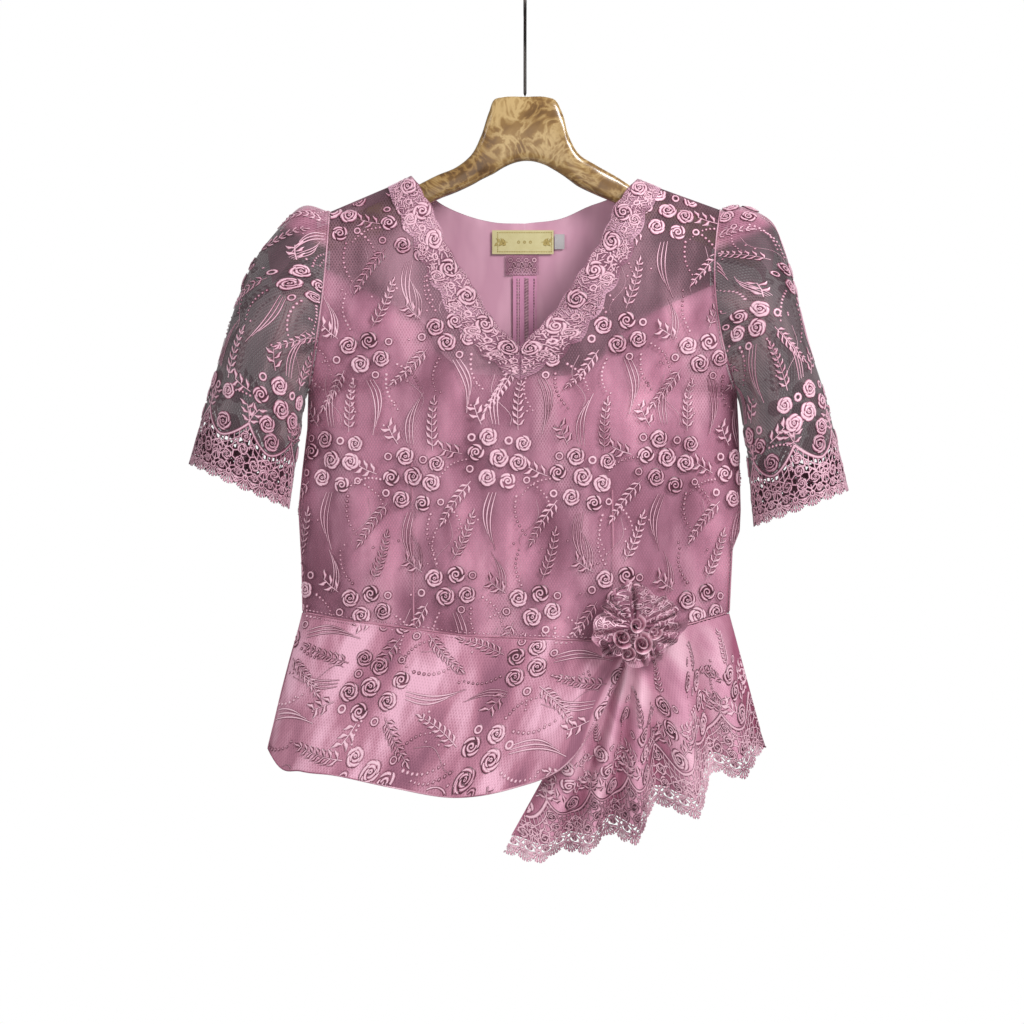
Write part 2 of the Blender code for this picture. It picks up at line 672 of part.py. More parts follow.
def petal(name, direction, spread, length, lift, waves):
    """Gathered petal: a fan round the stem, cupped and waved more and more toward its scalloped rim."""
    columns = waves * 3
    turn = np.linspace(-0.5, 0.5, columns + 1)
    angle = np.radians(direction + spread * turn)[None, :]
    r = np.array((0.0, 0.3, 0.62, 1.0))[:, None]
    rim = length * (0.78 + 0.22 * np.cos(math.pi * turn) + 0.05 * np.cos(2 * math.pi * waves * turn))
    start = CORSAGE_STEM + 0.4
    far = start + (rim[None, :] - start) * r
    wave = np.sin(2 * math.pi * waves * turn)[None, :]
    up = corsage_depth() + lift + PETAL_CUP * r**1.5 + PETAL_WAVE * r * wave
    points = np.stack((CORSAGE_X + far * np.cos(angle), -up, CORSAGE_Z + far * np.sin(angle)), -1)
    return cloth(name, layer(points, forward, 0.0, CLOTH, 0), LACE)


def turned(name, profile, centre, look, steps=12):
    """Solid turned round the Y axis: profile rows give radius and depth from the cloth outward."""
    mesh = bmesh.new()
    rings = []
    for radius, out in profile:
        ring = []
        for k in range(steps):
            a = 2 * math.pi * k / steps
            x = centre[0] + radius * math.cos(a)
            z = centre[2] + radius * math.sin(a)
            ring.append(mesh.verts.new((x * MM, (centre[1] - out) * MM, z * MM)))
        rings.append(ring)
    for low, high in zip(rings, rings[1:]):
        for k in range(steps):
            after = (k + 1) % steps
            mesh.faces.new((low[k], low[after], high[after], high[k]))
    mesh.faces.new(rings[0])
    mesh.faces.new(list(reversed(rings[-1])))
    return place(name, mesh, look)


def corsage_knot():
    base = corsage_seat()
    reach = CORSAGE_REACH
    head = CORSAGE_HEAD
    profile = [
        (CORSAGE_STEM, 0), (CORSAGE_STEM, reach - head * 1.5), (head * 0.75, reach - head * 1.2),
        (head, reach - head * 0.7), (head * 0.8, reach - head * 0.2), (head * 0.4, reach),
    ]
    return turned("corsage_knot", profile, (CORSAGE_X, -base, CORSAGE_Z), LACE)


# Labels, stay and zip at the centre back
def back_tab(name, area, look, columns, rows, wall):
    x0, x1, z0, z1 = area
    x, z = np.meshgrid(np.linspace(x0, x1, columns + 1), np.linspace(z0, z1, rows + 1))
    points = back_surface(np.stack((x, z), -1))
    return cloth(name, layer(points, backward, INSIDE_LANE, wall, 0), look)


def box_faces(mesh, low, high):
    """Box between two corners in millimetres."""
    corners = [
        mesh.verts.new((x * MM, y * MM, z * MM))
        for z in (low[2], high[2]) for y in (low[1], high[1]) for x in (low[0], high[0])
    ]
    for side in ((0, 2, 3, 1), (4, 5, 7, 6), (0, 1, 5, 4), (2, 6, 7, 3), (0, 4, 6, 2), (1, 3, 7, 5)):
        mesh.faces.new([corners[k] for k in side])


def turned_about_x(made, degrees, pivot):
    """Turns an object's mesh about the X axis through pivot, in millimetres."""
    c, s = math.cos(math.radians(degrees)), math.sin(math.radians(degrees))
    for vertex in made.data.vertices:
        y, z = vertex.co.y - pivot[0] * MM, vertex.co.z - pivot[1] * MM
        vertex.co.y = pivot[0] * MM + y * c - z * s
        vertex.co.z = pivot[1] * MM + y * s + z * c


def outline_solid(name, outline, x_from, x_to, look):
    """Solid of an outline in the YZ plane, pulled along X."""
    mesh = bmesh.new()
    near = [mesh.verts.new((x_from * MM, y * MM, z * MM)) for y, z in outline]
    far = [mesh.verts.new((x_to * MM, y * MM, z * MM)) for y, z in outline]
    mesh.faces.new(near)
    mesh.faces.new(list(reversed(far)))
    for k in range(len(near)):
        after = (k + 1) % len(near)
        mesh.faces.new((near[after], near[k], far[k], far[after]))
    return place(name, mesh, look)


def back_slope(z):
    """Depth of the back at its middle, and its lean from the upright in degrees."""
    here = float(depth(np.array(0.0), np.array(z), BACK_DEPTH))
    below = float(depth(np.array(0.0), np.array(z - 6.0), BACK_DEPTH))
    return here, math.degrees(math.atan2(below - here, 6.0))


def zip_slider(hinge_y, hinge_z, lean):
    """Slider body with two lugs for the pull tab's pin."""
    width, thick, long = SLIDER_SIZE
    mesh = bmesh.new()
    back_face = hinge_y - PIN_RADIUS - 0.4
    low = (-width / 2, back_face - thick + 1.0, hinge_z - long * 0.75)
    high = (width / 2, back_face, hinge_z + long * 0.25)
    box_faces(mesh, low, high)
    made = place("zip_slider", mesh, STEEL)
    lugs = []
    for side in (-1, 1):
        lug = bmesh.new()
        inner = TAB_WIDTH / 2 + 0.3
        x0, x1 = sorted((side * inner, side * width / 2))
        box_faces(lug, (x0, back_face - 0.5, hinge_z - 1.6), (x1, hinge_y + PIN_RADIUS, hinge_z + 1.6))
        lugs.append(place("lug", lug, STEEL))
    for lug in lugs:
        lug.hide_render = True
        lug.display_type = "WIRE"
        union = made.modifiers.new("lug", "BOOLEAN")
        union.operation = "UNION"
        union.solver = "EXACT"
        union.object = lug
    for thing in (made, *lugs):
        turned_about_x(thing, lean, (hinge_y, hinge_z))
    return made


def pull_tab(hinge_y, hinge_z, lean):
    """Pull tab: round head between the lugs and a flat blade that hangs down the back."""
    head = [
        (hinge_y + PIN_RADIUS * math.cos(a), hinge_z + PIN_RADIUS * math.sin(a))
        for a in np.radians(np.arange(-60, 241, 30))
    ]
    blade_out = hinge_y + TAB_WALL / 2
    blade_in = hinge_y - TAB_WALL / 2
    low = hinge_z - TAB_LENGTH
    tip = [(blade_in, low + 1.0), (blade_in + 0.3, low), (blade_out - 0.3, low), (blade_out, low + 1.0)]
    outline = head + tip
    made = outline_solid("zip_pull_tab", outline, -TAB_WIDTH / 2, TAB_WIDTH / 2, STEEL)
    turned_about_x(made, lean, (hinge_y, hinge_z))
    return made


# Hanger and hook
def hanger():
    """Broad hanger: rounded sections in the YZ plane, lofted along X."""
    mesh = bmesh.new()
    rings = []
    for x, top, bottom, half in HANGER:
        middle, tall = (top + bottom) / 2, (top - bottom) / 2
        corner = min(half * HANGER_CORNER * 1.6, tall * 0.6)
        sections = [
            (half, tall - corner), (half * 0.72, tall - corner * 0.35), (half * 0.25, tall),
            (-half * 0.25, tall), (-half * 0.72, tall - corner * 0.35), (-half, tall - corner),
            (-half, corner - tall), (-half * 0.72, corner * 0.35 - tall), (-half * 0.25, -tall),
            (half * 0.25, -tall), (half * 0.72, corner * 0.35 - tall), (half, corner - tall),
        ]
        rings.append([mesh.verts.new((x * MM, y * MM, (middle + z) * MM)) for y, z in sections])
    for one, two in zip(rings, rings[1:]):
        for k in range(len(one)):
            after = (k + 1) % len(one)
            mesh.faces.new((one[k], one[after], two[after], two[k]))
    mesh.faces.new(rings[0])
    mesh.faces.new(list(reversed(rings[-1])))
    return place("hanger", mesh, AMBER)


def hook():
    """Wire hook in the YZ plane: stem, swan neck and an open round top."""
    radius = HOOK_INNER + WIRE
    turn = np.radians(np.linspace(HOOK_START, HOOK_END, 19))
    arc = np.stack((radius * np.cos(turn), -HOOK_INNER + radius * np.sin(turn)), -1)
    route = np.concatenate((np.array(HOOK_STEM, float), arc))
    route[:, 0] *= -1
    heading = np.gradient(route, axis=0)
    heading[0] = heading[1] = (0, 1)
    heading = heading / np.linalg.norm(heading, axis=-1, keepdims=True)
    mesh = bmesh.new()
    rings = []
    for (y, z), (dy, dz) in zip(route, heading):
        ring = []
        for k in range(HOOK_SIDES):
            a = 2 * math.pi * k / HOOK_SIDES
            off = WIRE * math.cos(a)
            ring.append(mesh.verts.new((WIRE * math.sin(a) * MM, (y + off * dz) * MM, (z - off * dy) * MM)))
        rings.append(ring)
    for one, two in zip(rings, rings[1:]):
        for k in range(HOOK_SIDES):
            after = (k + 1) % HOOK_SIDES
            mesh.faces.new((one[k], one[after], two[after], two[k]))
    mesh.faces.new(rings[0])
    mesh.faces.new(list(reversed(rings[-1])))
    return place("hook", mesh, STEEL)


# Assembly
front_bodice()
front_lining()
for side_name, is_left in (("left", True), ("right", False)):
    back_half(f"back_{side_name}", is_left, 0.0, LACE)
    back_half(f"back_lining_{side_name}", is_left, CLOTH + LINING_GAP, SATIN)
    neck_trim(f"neck_trim_{side_name}", is_left)
peplum_back()
cloth("peplum_front", layer(overlap_points(26, 6), forward, 0.0, CLOTH, -1), LACE)
cloth("peplum_drape", layer(drape_points(), forward, 0.0, CLOTH, -1), LACE, drape_hole)
SLEEVES = (("left", SLEEVE_LEFT, ARM_LEFT), ("right", SLEEVE_RIGHT, ARM_RIGHT))
for side_name, sleeve_rings, armhole in SLEEVES:
    sleeve_half(f"sleeve_{side_name}_front", sleeve_rings, armhole, -1)
    sleeve_half(f"sleeve_{side_name}_back", sleeve_rings, armhole, 1)
    sleeve_head(f"sleeve_head_{side_name}", sleeve_rings, armhole)
for petal_row in PETALS:
    petal(*petal_row)
corsage_knot()
back_tab("label", LABEL, GOLD, 6, 2, 0.6)
back_tab("size_tag", SIZE_TAG, GREY, 1, 2, 0.5)
back_tab("back_stay", BACK_STAY, LACE, 3, 2, 0.8)
back_tab("zip_tape", ZIP_TAPE, TAPE, 2, 14, 1.0)
back_at_slider, back_lean = back_slope(SLIDER_Z)
pin_y = back_at_slider + 0.5 + SLIDER_SIZE[1] - 1.0 + 0.4 + PIN_RADIUS
zip_slider(pin_y, SLIDER_Z, back_lean)
pull_tab(pin_y, SLIDER_Z, back_lean)
hanger()
hook()
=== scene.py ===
# %% [markdown]
# # A lace blouse on its hanger
# This lesson dresses a plain model of a blouse: pink embroidered net over satin, a border of open lace,
# a corsage, and a marbled hanger. The plain model gives every place, so nothing here is moved to fit.
# Lengths are drawn in millimetres and turned to metres when a mesh is made.

# %% Setup
import math

import bmesh
import bpy
import numpy as np
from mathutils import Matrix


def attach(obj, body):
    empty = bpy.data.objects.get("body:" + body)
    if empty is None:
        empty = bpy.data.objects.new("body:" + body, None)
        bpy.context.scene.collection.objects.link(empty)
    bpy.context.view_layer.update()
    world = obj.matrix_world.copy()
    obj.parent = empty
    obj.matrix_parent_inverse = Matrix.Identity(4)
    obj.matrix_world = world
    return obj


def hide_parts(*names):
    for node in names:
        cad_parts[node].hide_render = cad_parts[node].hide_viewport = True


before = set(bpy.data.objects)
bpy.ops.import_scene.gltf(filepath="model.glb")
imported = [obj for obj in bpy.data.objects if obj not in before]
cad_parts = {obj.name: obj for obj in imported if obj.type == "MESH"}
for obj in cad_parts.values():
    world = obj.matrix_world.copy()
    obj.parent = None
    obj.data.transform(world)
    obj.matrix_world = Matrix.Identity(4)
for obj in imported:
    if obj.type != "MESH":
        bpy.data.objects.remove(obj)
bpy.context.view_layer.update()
MM = 0.001
GARMENT = "blouse"
rng = np.random.default_rng(7)

# %% [markdown]
# ## Mesh helpers
# Every piece is worked out as arrays of points, and one function turns such arrays into a mesh. A grid of
# points needs only its size to know its faces, so cloth, tubes and turned pieces share the same faces.


# %% Mesh helpers
def make(name, points, faces, look, uv=None):
    """Mesh from an (n, 3) array in millimetres and an (m, 3 or 4) array of corners; uv has a row a point."""
    mesh = bpy.data.meshes.new(name)
    points = np.asarray(points, np.float32).reshape(-1, 3) * MM
    faces = np.asarray(faces, np.int32)
    count, sides = faces.shape
    mesh.vertices.add(len(points))
    mesh.vertices.foreach_set("co", points.ravel())
    mesh.loops.add(count * sides)
    mesh.loops.foreach_set("vertex_index", faces.ravel())
    mesh.polygons.add(count)
    mesh.polygons.foreach_set("loop_start", np.arange(count, dtype=np.int32) * sides)
    mesh.update(calc_edges=True)
    if uv is not None:
        layer = mesh.uv_layers.new(name="cloth")
        layer.data.foreach_set("uv", np.asarray(uv, np.float32).reshape(-1, 2)[faces.ravel()].ravel())
    mesh.validate()
    mesh.shade_smooth()
    made = bpy.data.objects.new(name, mesh)
    bpy.context.collection.objects.link(made)
    made.data.materials.append(look)
    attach(made, GARMENT)
    return made


def grid_faces(rows, columns, round_across=False):
    """Corners of the quads between neighbouring points of a grid, closed round if asked."""
    last = columns if round_across else columns - 1
    j, i = np.meshgrid(np.arange(rows - 1), np.arange(last), indexing="ij")
    row, below, after = j * columns, (j + 1) * columns, (i + 1) % columns
    return np.stack((row + i, row + after, below + after, below + i), -1).reshape(-1, 4)


def weld(made, reach=0.02):
    """Joins points that lie on each other."""
    mesh = bmesh.new()
    mesh.from_mesh(made.data)
    bmesh.ops.remove_doubles(mesh, verts=mesh.verts, dist=reach * MM)
    mesh.to_mesh(made.data)
    mesh.free()
    return made


def unit(vectors):
    """Vectors of length 1 along the last axis."""
    return vectors / np.maximum(np.linalg.norm(vectors, axis=-1, keepdims=True), 1e-9)


def run_of(route):
    """Length along a line of points, from 0 at its first."""
    return np.concatenate(([0.0], np.cumsum(np.linalg.norm(np.diff(route, axis=0), axis=1))))


# %% [markdown]
# ## The body's form
# The blouse hangs almost flat. Each level cut is a rounded box: depth runs from the middle to the seam as
# one minus a power of the distance, which stays flat in front and turns quickly at the side. Below the
# shoulder the depth grows like the side of a bowl, so the cloth clears the hanger at once.

# %% Sizes of the body
CENTRE_X = -5.0
NECK_LEFT = [(-113, -192), (-94, -226), (-77, -266), (-51, -306), (-30, -341), (CENTRE_X, -364)]
NECK_RIGHT = [(112, -195), (92, -222), (78, -255), (54, -293), (30, -329), (CENTRE_X, -364)]
TIP_LEFT, TIP_RIGHT = (-195, -227), (195, -225)
BACK_NECK = [
    (-113, -192), (-84, -217), (-59, -228), (-30, -235), (0, -236), (37, -231), (65, -219), (85, -212),
    (112, -195),
]
SIDE_LEFT = [
    (-403, -216), (-444, -217), (-485, -222), (-525, -226), (-577, -223), (-627, -222),
    (-647, -227), (-672, -235), (-706, -244), (-738, -251), (-763, -257), (-900, -290),
]
SIDE_RIGHT = [
    (-407, 211), (-445, 213), (-525, 215), (-546, 214), (-564, 207), (-627, 204),
    (-665, 212), (-691, 218), (-714, 225), (-738, 233), (-763, 241), (-900, 280),
]
FRONT_DEPTH = [(-192, 46), (-330, 46), (-430, 51), (-540, 45), (-640, 40), (-700, 42), (-880, 44)]
BACK_DEPTH, BACK_WAIST, BACK_HEM = 38.0, -628.0, -754.0
WAIST = [
    (-222, -627), (-165, -636), (-104, -643), (-60, -649), (15, -652), (65, -654), (120, -650), (204, -627),
]
ARM_LEFT = {"x": -205.5, "z": -315.0, "ax": 10.5, "az": 88.0, "depth": 40.0, "bow": 5.0}
ARM_RIGHT = {"x": 203.0, "z": -316.0, "ax": -8.0, "az": 91.0, "depth": 40.0, "bow": -15.0}
SIDES = ((True, "left"), (False, "right"))  # as seen from the front
SEAM = 0.7  # wall of the cloth where two pieces meet
SHOULDER_DROP, SHOULDER_POWER = 150.0, 2.2  # the body has its full depth below this drop
SECTION_INNER, SECTION_OUTER = 2.6, 0.6  # powers of the level cut: flat in front, quick at the side
CROWDING = 1.5  # columns crowd toward the sides by this power, where the cloth turns


# %% Curves through given rows
def blend(rows, slope, k, f, width=1.0):
    """Cubic piece after row k: f runs from 0 to 1 over the given width."""
    start = rows[k] * (2 * f**3 - 3 * f**2 + 1) + slope[k] * width * (f**3 - 2 * f**2 + f)
    return start + rows[k + 1] * (3 * f**2 - 2 * f**3) + slope[k + 1] * width * (f**3 - f**2)


def curve(rows, t):
    """Cubic pieces through the rows, t from 0 to 1 by length in the first two columns."""
    rows, t = np.array(rows, float), np.asarray(t, float)
    at = run_of(rows[:, :2])
    at /= at[-1]
    k = np.clip(np.searchsorted(at, t, side="right") - 1, 0, len(at) - 2)
    width = (at[k + 1] - at[k])[..., None]
    return blend(rows, np.gradient(rows, at, axis=0), k, (t - at[k])[..., None] / width, width)


def at_height(table, z):
    """Straight-line value of a table of height and value at each z."""
    heights, values = zip(*reversed(table))
    return np.interp(z, heights, values)


def along_x(table, x):
    """Straight-line height of a table of x and height at each x."""
    xs, zs = zip(*table)
    return np.interp(x, xs, zs)


# %% Depth of the body
def edge_x(left, z):
    """x of the front's edge: the bowed armhole seam above the underarm, the side seam below."""
    arm, side = (ARM_LEFT, SIDE_LEFT) if left else (ARM_RIGHT, SIDE_RIGHT)
    cosine = np.clip((z - arm["z"]) / arm["az"], -1, 1)
    seam = arm["x"] + arm["ax"] * cosine + arm["bow"] * (1 - cosine**2)
    return np.where(z > arm["z"] - arm["az"], seam, at_height(side, z))


def rim_depth(left, z):
    """Depth of the armhole seam: half an ellipse."""
    arm = ARM_LEFT if left else ARM_RIGHT
    cosine = np.clip((z - arm["z"]) / arm["az"], -1, 1)
    return arm["depth"] * np.sqrt(1 - cosine**2)


def shoulder_z(x):
    """Height of the shoulder seam, level between the neck points."""
    return along_x((TIP_LEFT, NECK_LEFT[0], NECK_RIGHT[0], TIP_RIGHT), x)


def depth(x, z, middle):
    """Rim plus (full - rim) times (1 - share^inner)^outer, with full growing below the shoulder."""
    drop = np.clip((shoulder_z(x) - z) / SHOULDER_DROP, 0, 1)
    full = middle * np.sqrt(1 - (1 - drop) ** SHOULDER_POWER)
    left = x < CENTRE_X
    edge = np.where(left, edge_x(True, z), edge_x(False, z))
    rim = np.where(left, rim_depth(True, z), rim_depth(False, z))
    share = np.clip(np.abs(x - CENTRE_X) / np.abs(edge - CENTRE_X), 0, 1)
    return rim + (full - rim) * (1 - share**SECTION_INNER) ** SECTION_OUTER


# %% [markdown]
# ## Creases
# Cloth on a hanger keeps its darts and a few soft folds. Each one is a trough along a short line: deepest
# in its middle, fading at both ends and to the sides like a bell curve. A negative depth is a ridge.

# %% Creases
# From x and z, to x and z, half width, depth
FRONT_CREASES = [
    (-112, -462, -110, -640, 5, 3.2), (86, -500, 88, -645, 5, 3.0), (-104, -470, -100, -630, 11, -1.6),
    (94, -520, 96, -640, 10, -1.5), (181, -322, 104, -432, 7, 3.4), (172, -318, 92, -428, 9, -2.4),
    (-202, -318, -160, -364, 8, 2.6), (-192, -310, -150, -356, 8, -1.8), (-175, -420, -150, -560, 12, 2.2),
    (-60, -440, -72, -600, 15, 1.4), (40, -430, 34, -600, 16, 1.5), (150, -450, 142, -600, 12, 2.4),
    (-205, -430, -188, -600, 8, 2.4), (196, -440, 178, -610, 8, 2.6), (-30, -560, -34, -648, 10, 1.5),
    (-160, -590, -150, -640, 7, 1.5), (130, -590, 132, -648, 8, 1.6), (0, -400, -6, -520, 18, 1.2),
]
BACK_CREASES = [
    (-95, -450, -98, -625, 6, 2.4), (88, -452, 90, -625, 6, 2.4), (-150, -330, -80, -460, 13, 2.4),
    (152, -335, 78, -470, 13, 2.2), (-185, -430, -160, -590, 11, 2.2), (180, -440, 158, -600, 11, 2.0),
    (-40, -300, -30, -520, 15, 1.2), (45, -320, 35, -540, 15, 1.3),
]
CALM_DEPTH = 18.0  # creases fade where the body is shallower than this, toward the seams


def creases(table, x, z):
    """Sum of the troughs at x and z."""
    total = np.zeros(np.broadcast(x, z).shape)
    for x0, z0, x1, z1, wide, deep in table:
        length2 = (x1 - x0) ** 2 + (z1 - z0) ** 2
        t = ((x - x0) * (x1 - x0) + (z - z0) * (z1 - z0)) / length2
        away = ((x - x0) * (z1 - z0) - (z - z0) * (x1 - x0)) / math.sqrt(length2)
        fade = np.clip(1.15 - np.abs(2 * t - 1) ** 3, 0, 1) * (np.abs(2 * t - 1) < 1.05)
        total += deep * np.exp(-((away / wide) ** 2)) * fade
    return total


def front_surface(x, z):
    """Front points: y is minus the depth, less the creases, which fade at the seams."""
    full = at_height(FRONT_DEPTH, z)
    flat = depth(x, z, full)
    calm = np.clip(flat / CALM_DEPTH, 0, 1)
    return np.stack((x, -np.maximum(flat - calm * creases(FRONT_CREASES, x, z), SEAM / 2), z), -1)


def back_surface(x, z):
    """Back points, the same way; the creases also fade beside the zip."""
    flat = depth(x, z, BACK_DEPTH)
    calm = np.clip(flat / CALM_DEPTH, 0, 1) * np.clip((np.abs(x) - 12) / 20, 0, 1)
    return np.stack((x, np.maximum(flat - calm * creases(BACK_CREASES, x, z), SEAM / 2), z), -1)


# %% [markdown]
# ## Cloth that knows its own flat measure
# Embroidery is drawn flat and then laid on the hanging cloth, as on the real net. For that each panel
# keeps a fine grid of its points, and for every row the length of cloth from a zero column. A stitch at
# so many millimetres across and down is then found by looking that length up and blending four points.


# %% Cloth class
LOOK_STEP = 3.0  # spacing of the table that finds a column from a length across


class Cloth:
    """A panel as a grid of points: f runs across from the zero column, g runs down, h stands off it."""

    def __init__(self, points, facing, zero=0.5, offset=0.0, limits=None):
        """Grid of points, the way it faces, its zero column as a share, and how far off the grid it lies."""
        self.p, self.limits = np.asarray(points, float), limits
        normal = unit(np.cross(np.gradient(self.p, axis=1), np.gradient(self.p, axis=0)))
        flip = np.sign((normal * facing).sum(-1, keepdims=True))
        self.n = normal * np.where(flip == 0, 1, flip)
        self.p = self.p + self.n * offset
        rows, columns = self.p.shape[:2]
        steps = np.linalg.norm(np.diff(self.p, axis=1), axis=-1)
        self.f = np.concatenate((np.zeros((rows, 1)), np.cumsum(steps, axis=1)), 1)
        middle = int(round(zero * (columns - 1)))
        self.f -= self.f[:, middle : middle + 1]
        steps = np.linalg.norm(np.diff(self.p, axis=0), axis=-1).mean(1)
        self.g = np.concatenate(([0.0], np.cumsum(steps)))
        self.reach = (self.f.min(), self.f.max(), self.g[-1])
        self.fs = np.arange(self.reach[0], self.reach[1] + LOOK_STEP, LOOK_STEP)
        self.look_up = np.stack([np.interp(self.fs, row, np.arange(columns)) for row in self.f])

    def place(self, f, g, h):
        """Points on the cloth, and whether each lies inside the panel."""
        rows, columns = self.p.shape[:2]
        r = np.interp(g, self.g, np.arange(rows))
        j = np.minimum(r.astype(int), rows - 2)
        a = r - j
        s = np.clip((f - self.fs[0]) / LOOK_STEP, 0, len(self.fs) - 1.001)
        k = s.astype(int)
        b = s - k
        low = self.look_up[j, k] * (1 - b) + self.look_up[j, k + 1] * b
        high = self.look_up[j + 1, k] * (1 - b) + self.look_up[j + 1, k + 1] * b
        c = np.clip(low * (1 - a) + high * a, 0, columns - 1.001)
        i = c.astype(int)
        d = (c - i)[..., None]
        a = a[..., None]
        row = lambda v, j: v[j, i] * (1 - d) + v[j, i + 1] * d
        mix = lambda v: row(v, j) * (1 - a) + row(v, j + 1) * a
        left = self.f[j, 0] * (1 - a[..., 0]) + self.f[j + 1, 0] * a[..., 0]
        right = self.f[j, -1] * (1 - a[..., 0]) + self.f[j + 1, -1] * a[..., 0]
        inside = (f > left + 0.5) & (f < right - 0.5) & (g > 0.5) & (g < self.g[-1])
        if self.limits is not None:
            low, high = (limit[i] * (1 - d[..., 0]) + limit[i + 1] * d[..., 0] for limit in self.limits)
            inside &= (g > low) & (g < high)
        return mix(self.p) + mix(self.n) * h[..., None], inside

    def shell(self, name, look, slot="lace", level=False, split=None):
        """The panel as a mesh: UV is its flat measure, or x and z if level; split leaves out a column."""
        rows, columns = self.p.shape[:2]
        uv = np.stack((self.f, np.broadcast_to(-self.g[:, None], self.f.shape)), -1) * MM
        uv = self.p[..., (0, 2)] * MM if level else uv
        faces = grid_faces(rows, columns)
        faces = faces if split is None else faces[faces[:, 0] % columns != split]
        corner = self.p[:2, :2]
        turn = np.dot(np.cross(corner[0, 1] - corner[0, 0], corner[1, 0] - corner[0, 0]), self.n[0, 0])
        faces = faces if turn > 0 else faces[:, ::-1]
        return make(name, self.p, faces, look, uv)


def by_length(points, rows, from_hem=False):
    """Grid whose rows lie at equal lengths of cloth from the top or the hem, and each column's ends."""
    steps = np.linalg.norm(np.diff(points, axis=0), axis=-1)
    run = np.concatenate((np.zeros((1, points.shape[1])), np.cumsum(steps, axis=0)))
    total, longest = run[-1], run[-1].max()
    levels = np.linspace(0, longest, rows)
    start = longest - total if from_hem else 0 * total
    columns = [
        np.stack([np.interp(levels - start[c], run[:, c], points[:, c, k]) for k in range(3)], -1)
        for c in range(points.shape[1])
    ]
    return np.stack(columns, 1), (start, start + total)


def hem_cloth(points, facing, rows, **settings):
    """Cloth whose g is counted so that the hem is level."""
    grid, limits = by_length(points, rows, from_hem=True)
    made = Cloth(grid, facing, limits=limits, **settings)
    made.g = np.linspace(0, limits[1].max(), rows)
    made.reach = (*made.reach[:2], made.g[-1])
    return made


def cut_above(cloth, rows, lower):
    """Points of the cloth from each column's top down to g = lower of f at the hem."""
    ends = lower(cloth.f[-1])
    columns = []
    for c in range(cloth.p.shape[1]):
        g = np.linspace(cloth.limits[0][c], max(ends[c], cloth.limits[0][c] + 1), rows)
        columns.append(np.stack([np.interp(g, cloth.g, cloth.p[:, c, k]) for k in range(3)], -1))
    return np.stack(columns, 1)


# %% [markdown]
# ## Node helper
# A material is a small graph. One function adds a node of any kind, sets what it is given and joins its
# inputs, so each material reads as a list of what the real finish is made of.


# %% Node and colour helpers
def linear(code):
    """sRGB hex value to linear light."""
    s = np.array([int(code[k : k + 2], 16) for k in (1, 3, 5)]) / 255
    return (*np.where(s <= 0.04045, s / 12.92, ((s + 0.055) / 1.055) ** 2.4).tolist(), 1.0)


def add(tree, kind, joins=None, values=None, **settings):
    """Adds a node: joins are input to socket, values are input to number or colour, the rest are settings."""
    made = tree.nodes.new("ShaderNode" + kind)
    for key, value in settings.items():
        setattr(made, key, value)
    for key, value in (values or {}).items():
        made.inputs[key].default_value = value
    for key, socket in (joins or {}).items():
        tree.links.new(socket, made.inputs[key])
    return made


def material(name, colour, roughness, **values):
    """Material with its Principled node, ready for what varies over the surface."""
    made = bpy.data.materials.new(name)
    made.use_nodes = True
    tree = made.node_tree
    surface = tree.nodes["Principled BSDF"]
    surface.inputs["Base Color"].default_value = linear(colour)
    surface.inputs["Roughness"].default_value = roughness
    for key, value in values.items():
        surface.inputs[key.replace("_", " ")].default_value = value
    return made, tree, surface


def ramp(tree, factor, *stops):
    """Colour ramp of (place, hex) stops."""
    made = add(tree, "ValToRGB", {"Fac": factor})
    band = made.color_ramp
    while len(band.elements) < len(stops):
        band.elements.new(0.5)
    for element, (place, code) in zip(band.elements, stops):
        element.position = place
        element.color = linear(code)
    return made.outputs["Color"]


def stripes(tree, coords, spacing, degrees):
    """Value that swings from 0 to 1 once every spacing millimetres, along the given direction."""
    turned = add(tree, "Mapping", {"Vector": coords}, {"Rotation": (0, 0, math.radians(degrees))})
    # a wave texture of scale 1 has its bands pi / 10 apart
    wave = add(tree, "TexWave", {"Vector": turned.outputs[0]}, {"Scale": math.pi / 10 / (spacing * MM)})
    return wave.outputs["Fac"]


# %% [markdown]
# ## Satin and net
# The lining is polyester satin: smooth, with a soft broad shine and broad bands of painted light and shade
# for soft folds. The ground of the lace is a fine knitted net, with the same painted bands. Real net has
# cells near one millimetre, too fine to show, so it is drawn here at two and a half, and the gaps between its
# threads let the satin show through.


# %% Satin and net
def satin(name, light, dark, roughness=0.42):
    """Woven filament satin: broad bands of painted light and shade for soft folds, soft highlight, faint
    twill.
    """
    made, tree, surface = material(name, light, roughness, Sheen_Weight=0.3, Sheen_Roughness=0.4)
    coords = add(tree, "UVMap", uv_map="cloth").outputs[0]
    stretched = add(tree, "Mapping", {"Vector": coords}, {"Scale": (1.8, 0.6, 1.0)})
    cloud = add(tree, "TexNoise", {"Vector": stretched.outputs[0]}, {"Scale": 10.0, "Detail": 3.0})
    # dark and light tones in bands along the cloth: painted shade and light of soft folds
    tree.links.new(ramp(tree, cloud.outputs["Fac"], (0.39, dark), (0.6, light)), surface.inputs["Base Color"])
    twill = stripes(tree, coords, 1.6, 38)
    bump = add(tree, "Bump", {"Height": twill}, {"Strength": 0.12, "Distance": 0.0002})
    tree.links.new(bump.outputs[0], surface.inputs["Normal"])
    return made


def mark_ground(panel, lined, fold):
    """UV set of a net panel: x is 1 where satin behind it brightens it (painted light), y is 1 where shade is
    painted, in the depth of a fold.
    """
    mesh = panel.data
    corner = np.zeros(len(mesh.loops), np.int32)
    mesh.loops.foreach_get("vertex_index", corner)
    marks = np.stack(np.broadcast_arrays(lined, fold), -1).reshape(-1, 2)[corner]
    mesh.uv_layers.new(name="ground").data.foreach_set("uv", marks.astype(np.float32).ravel())


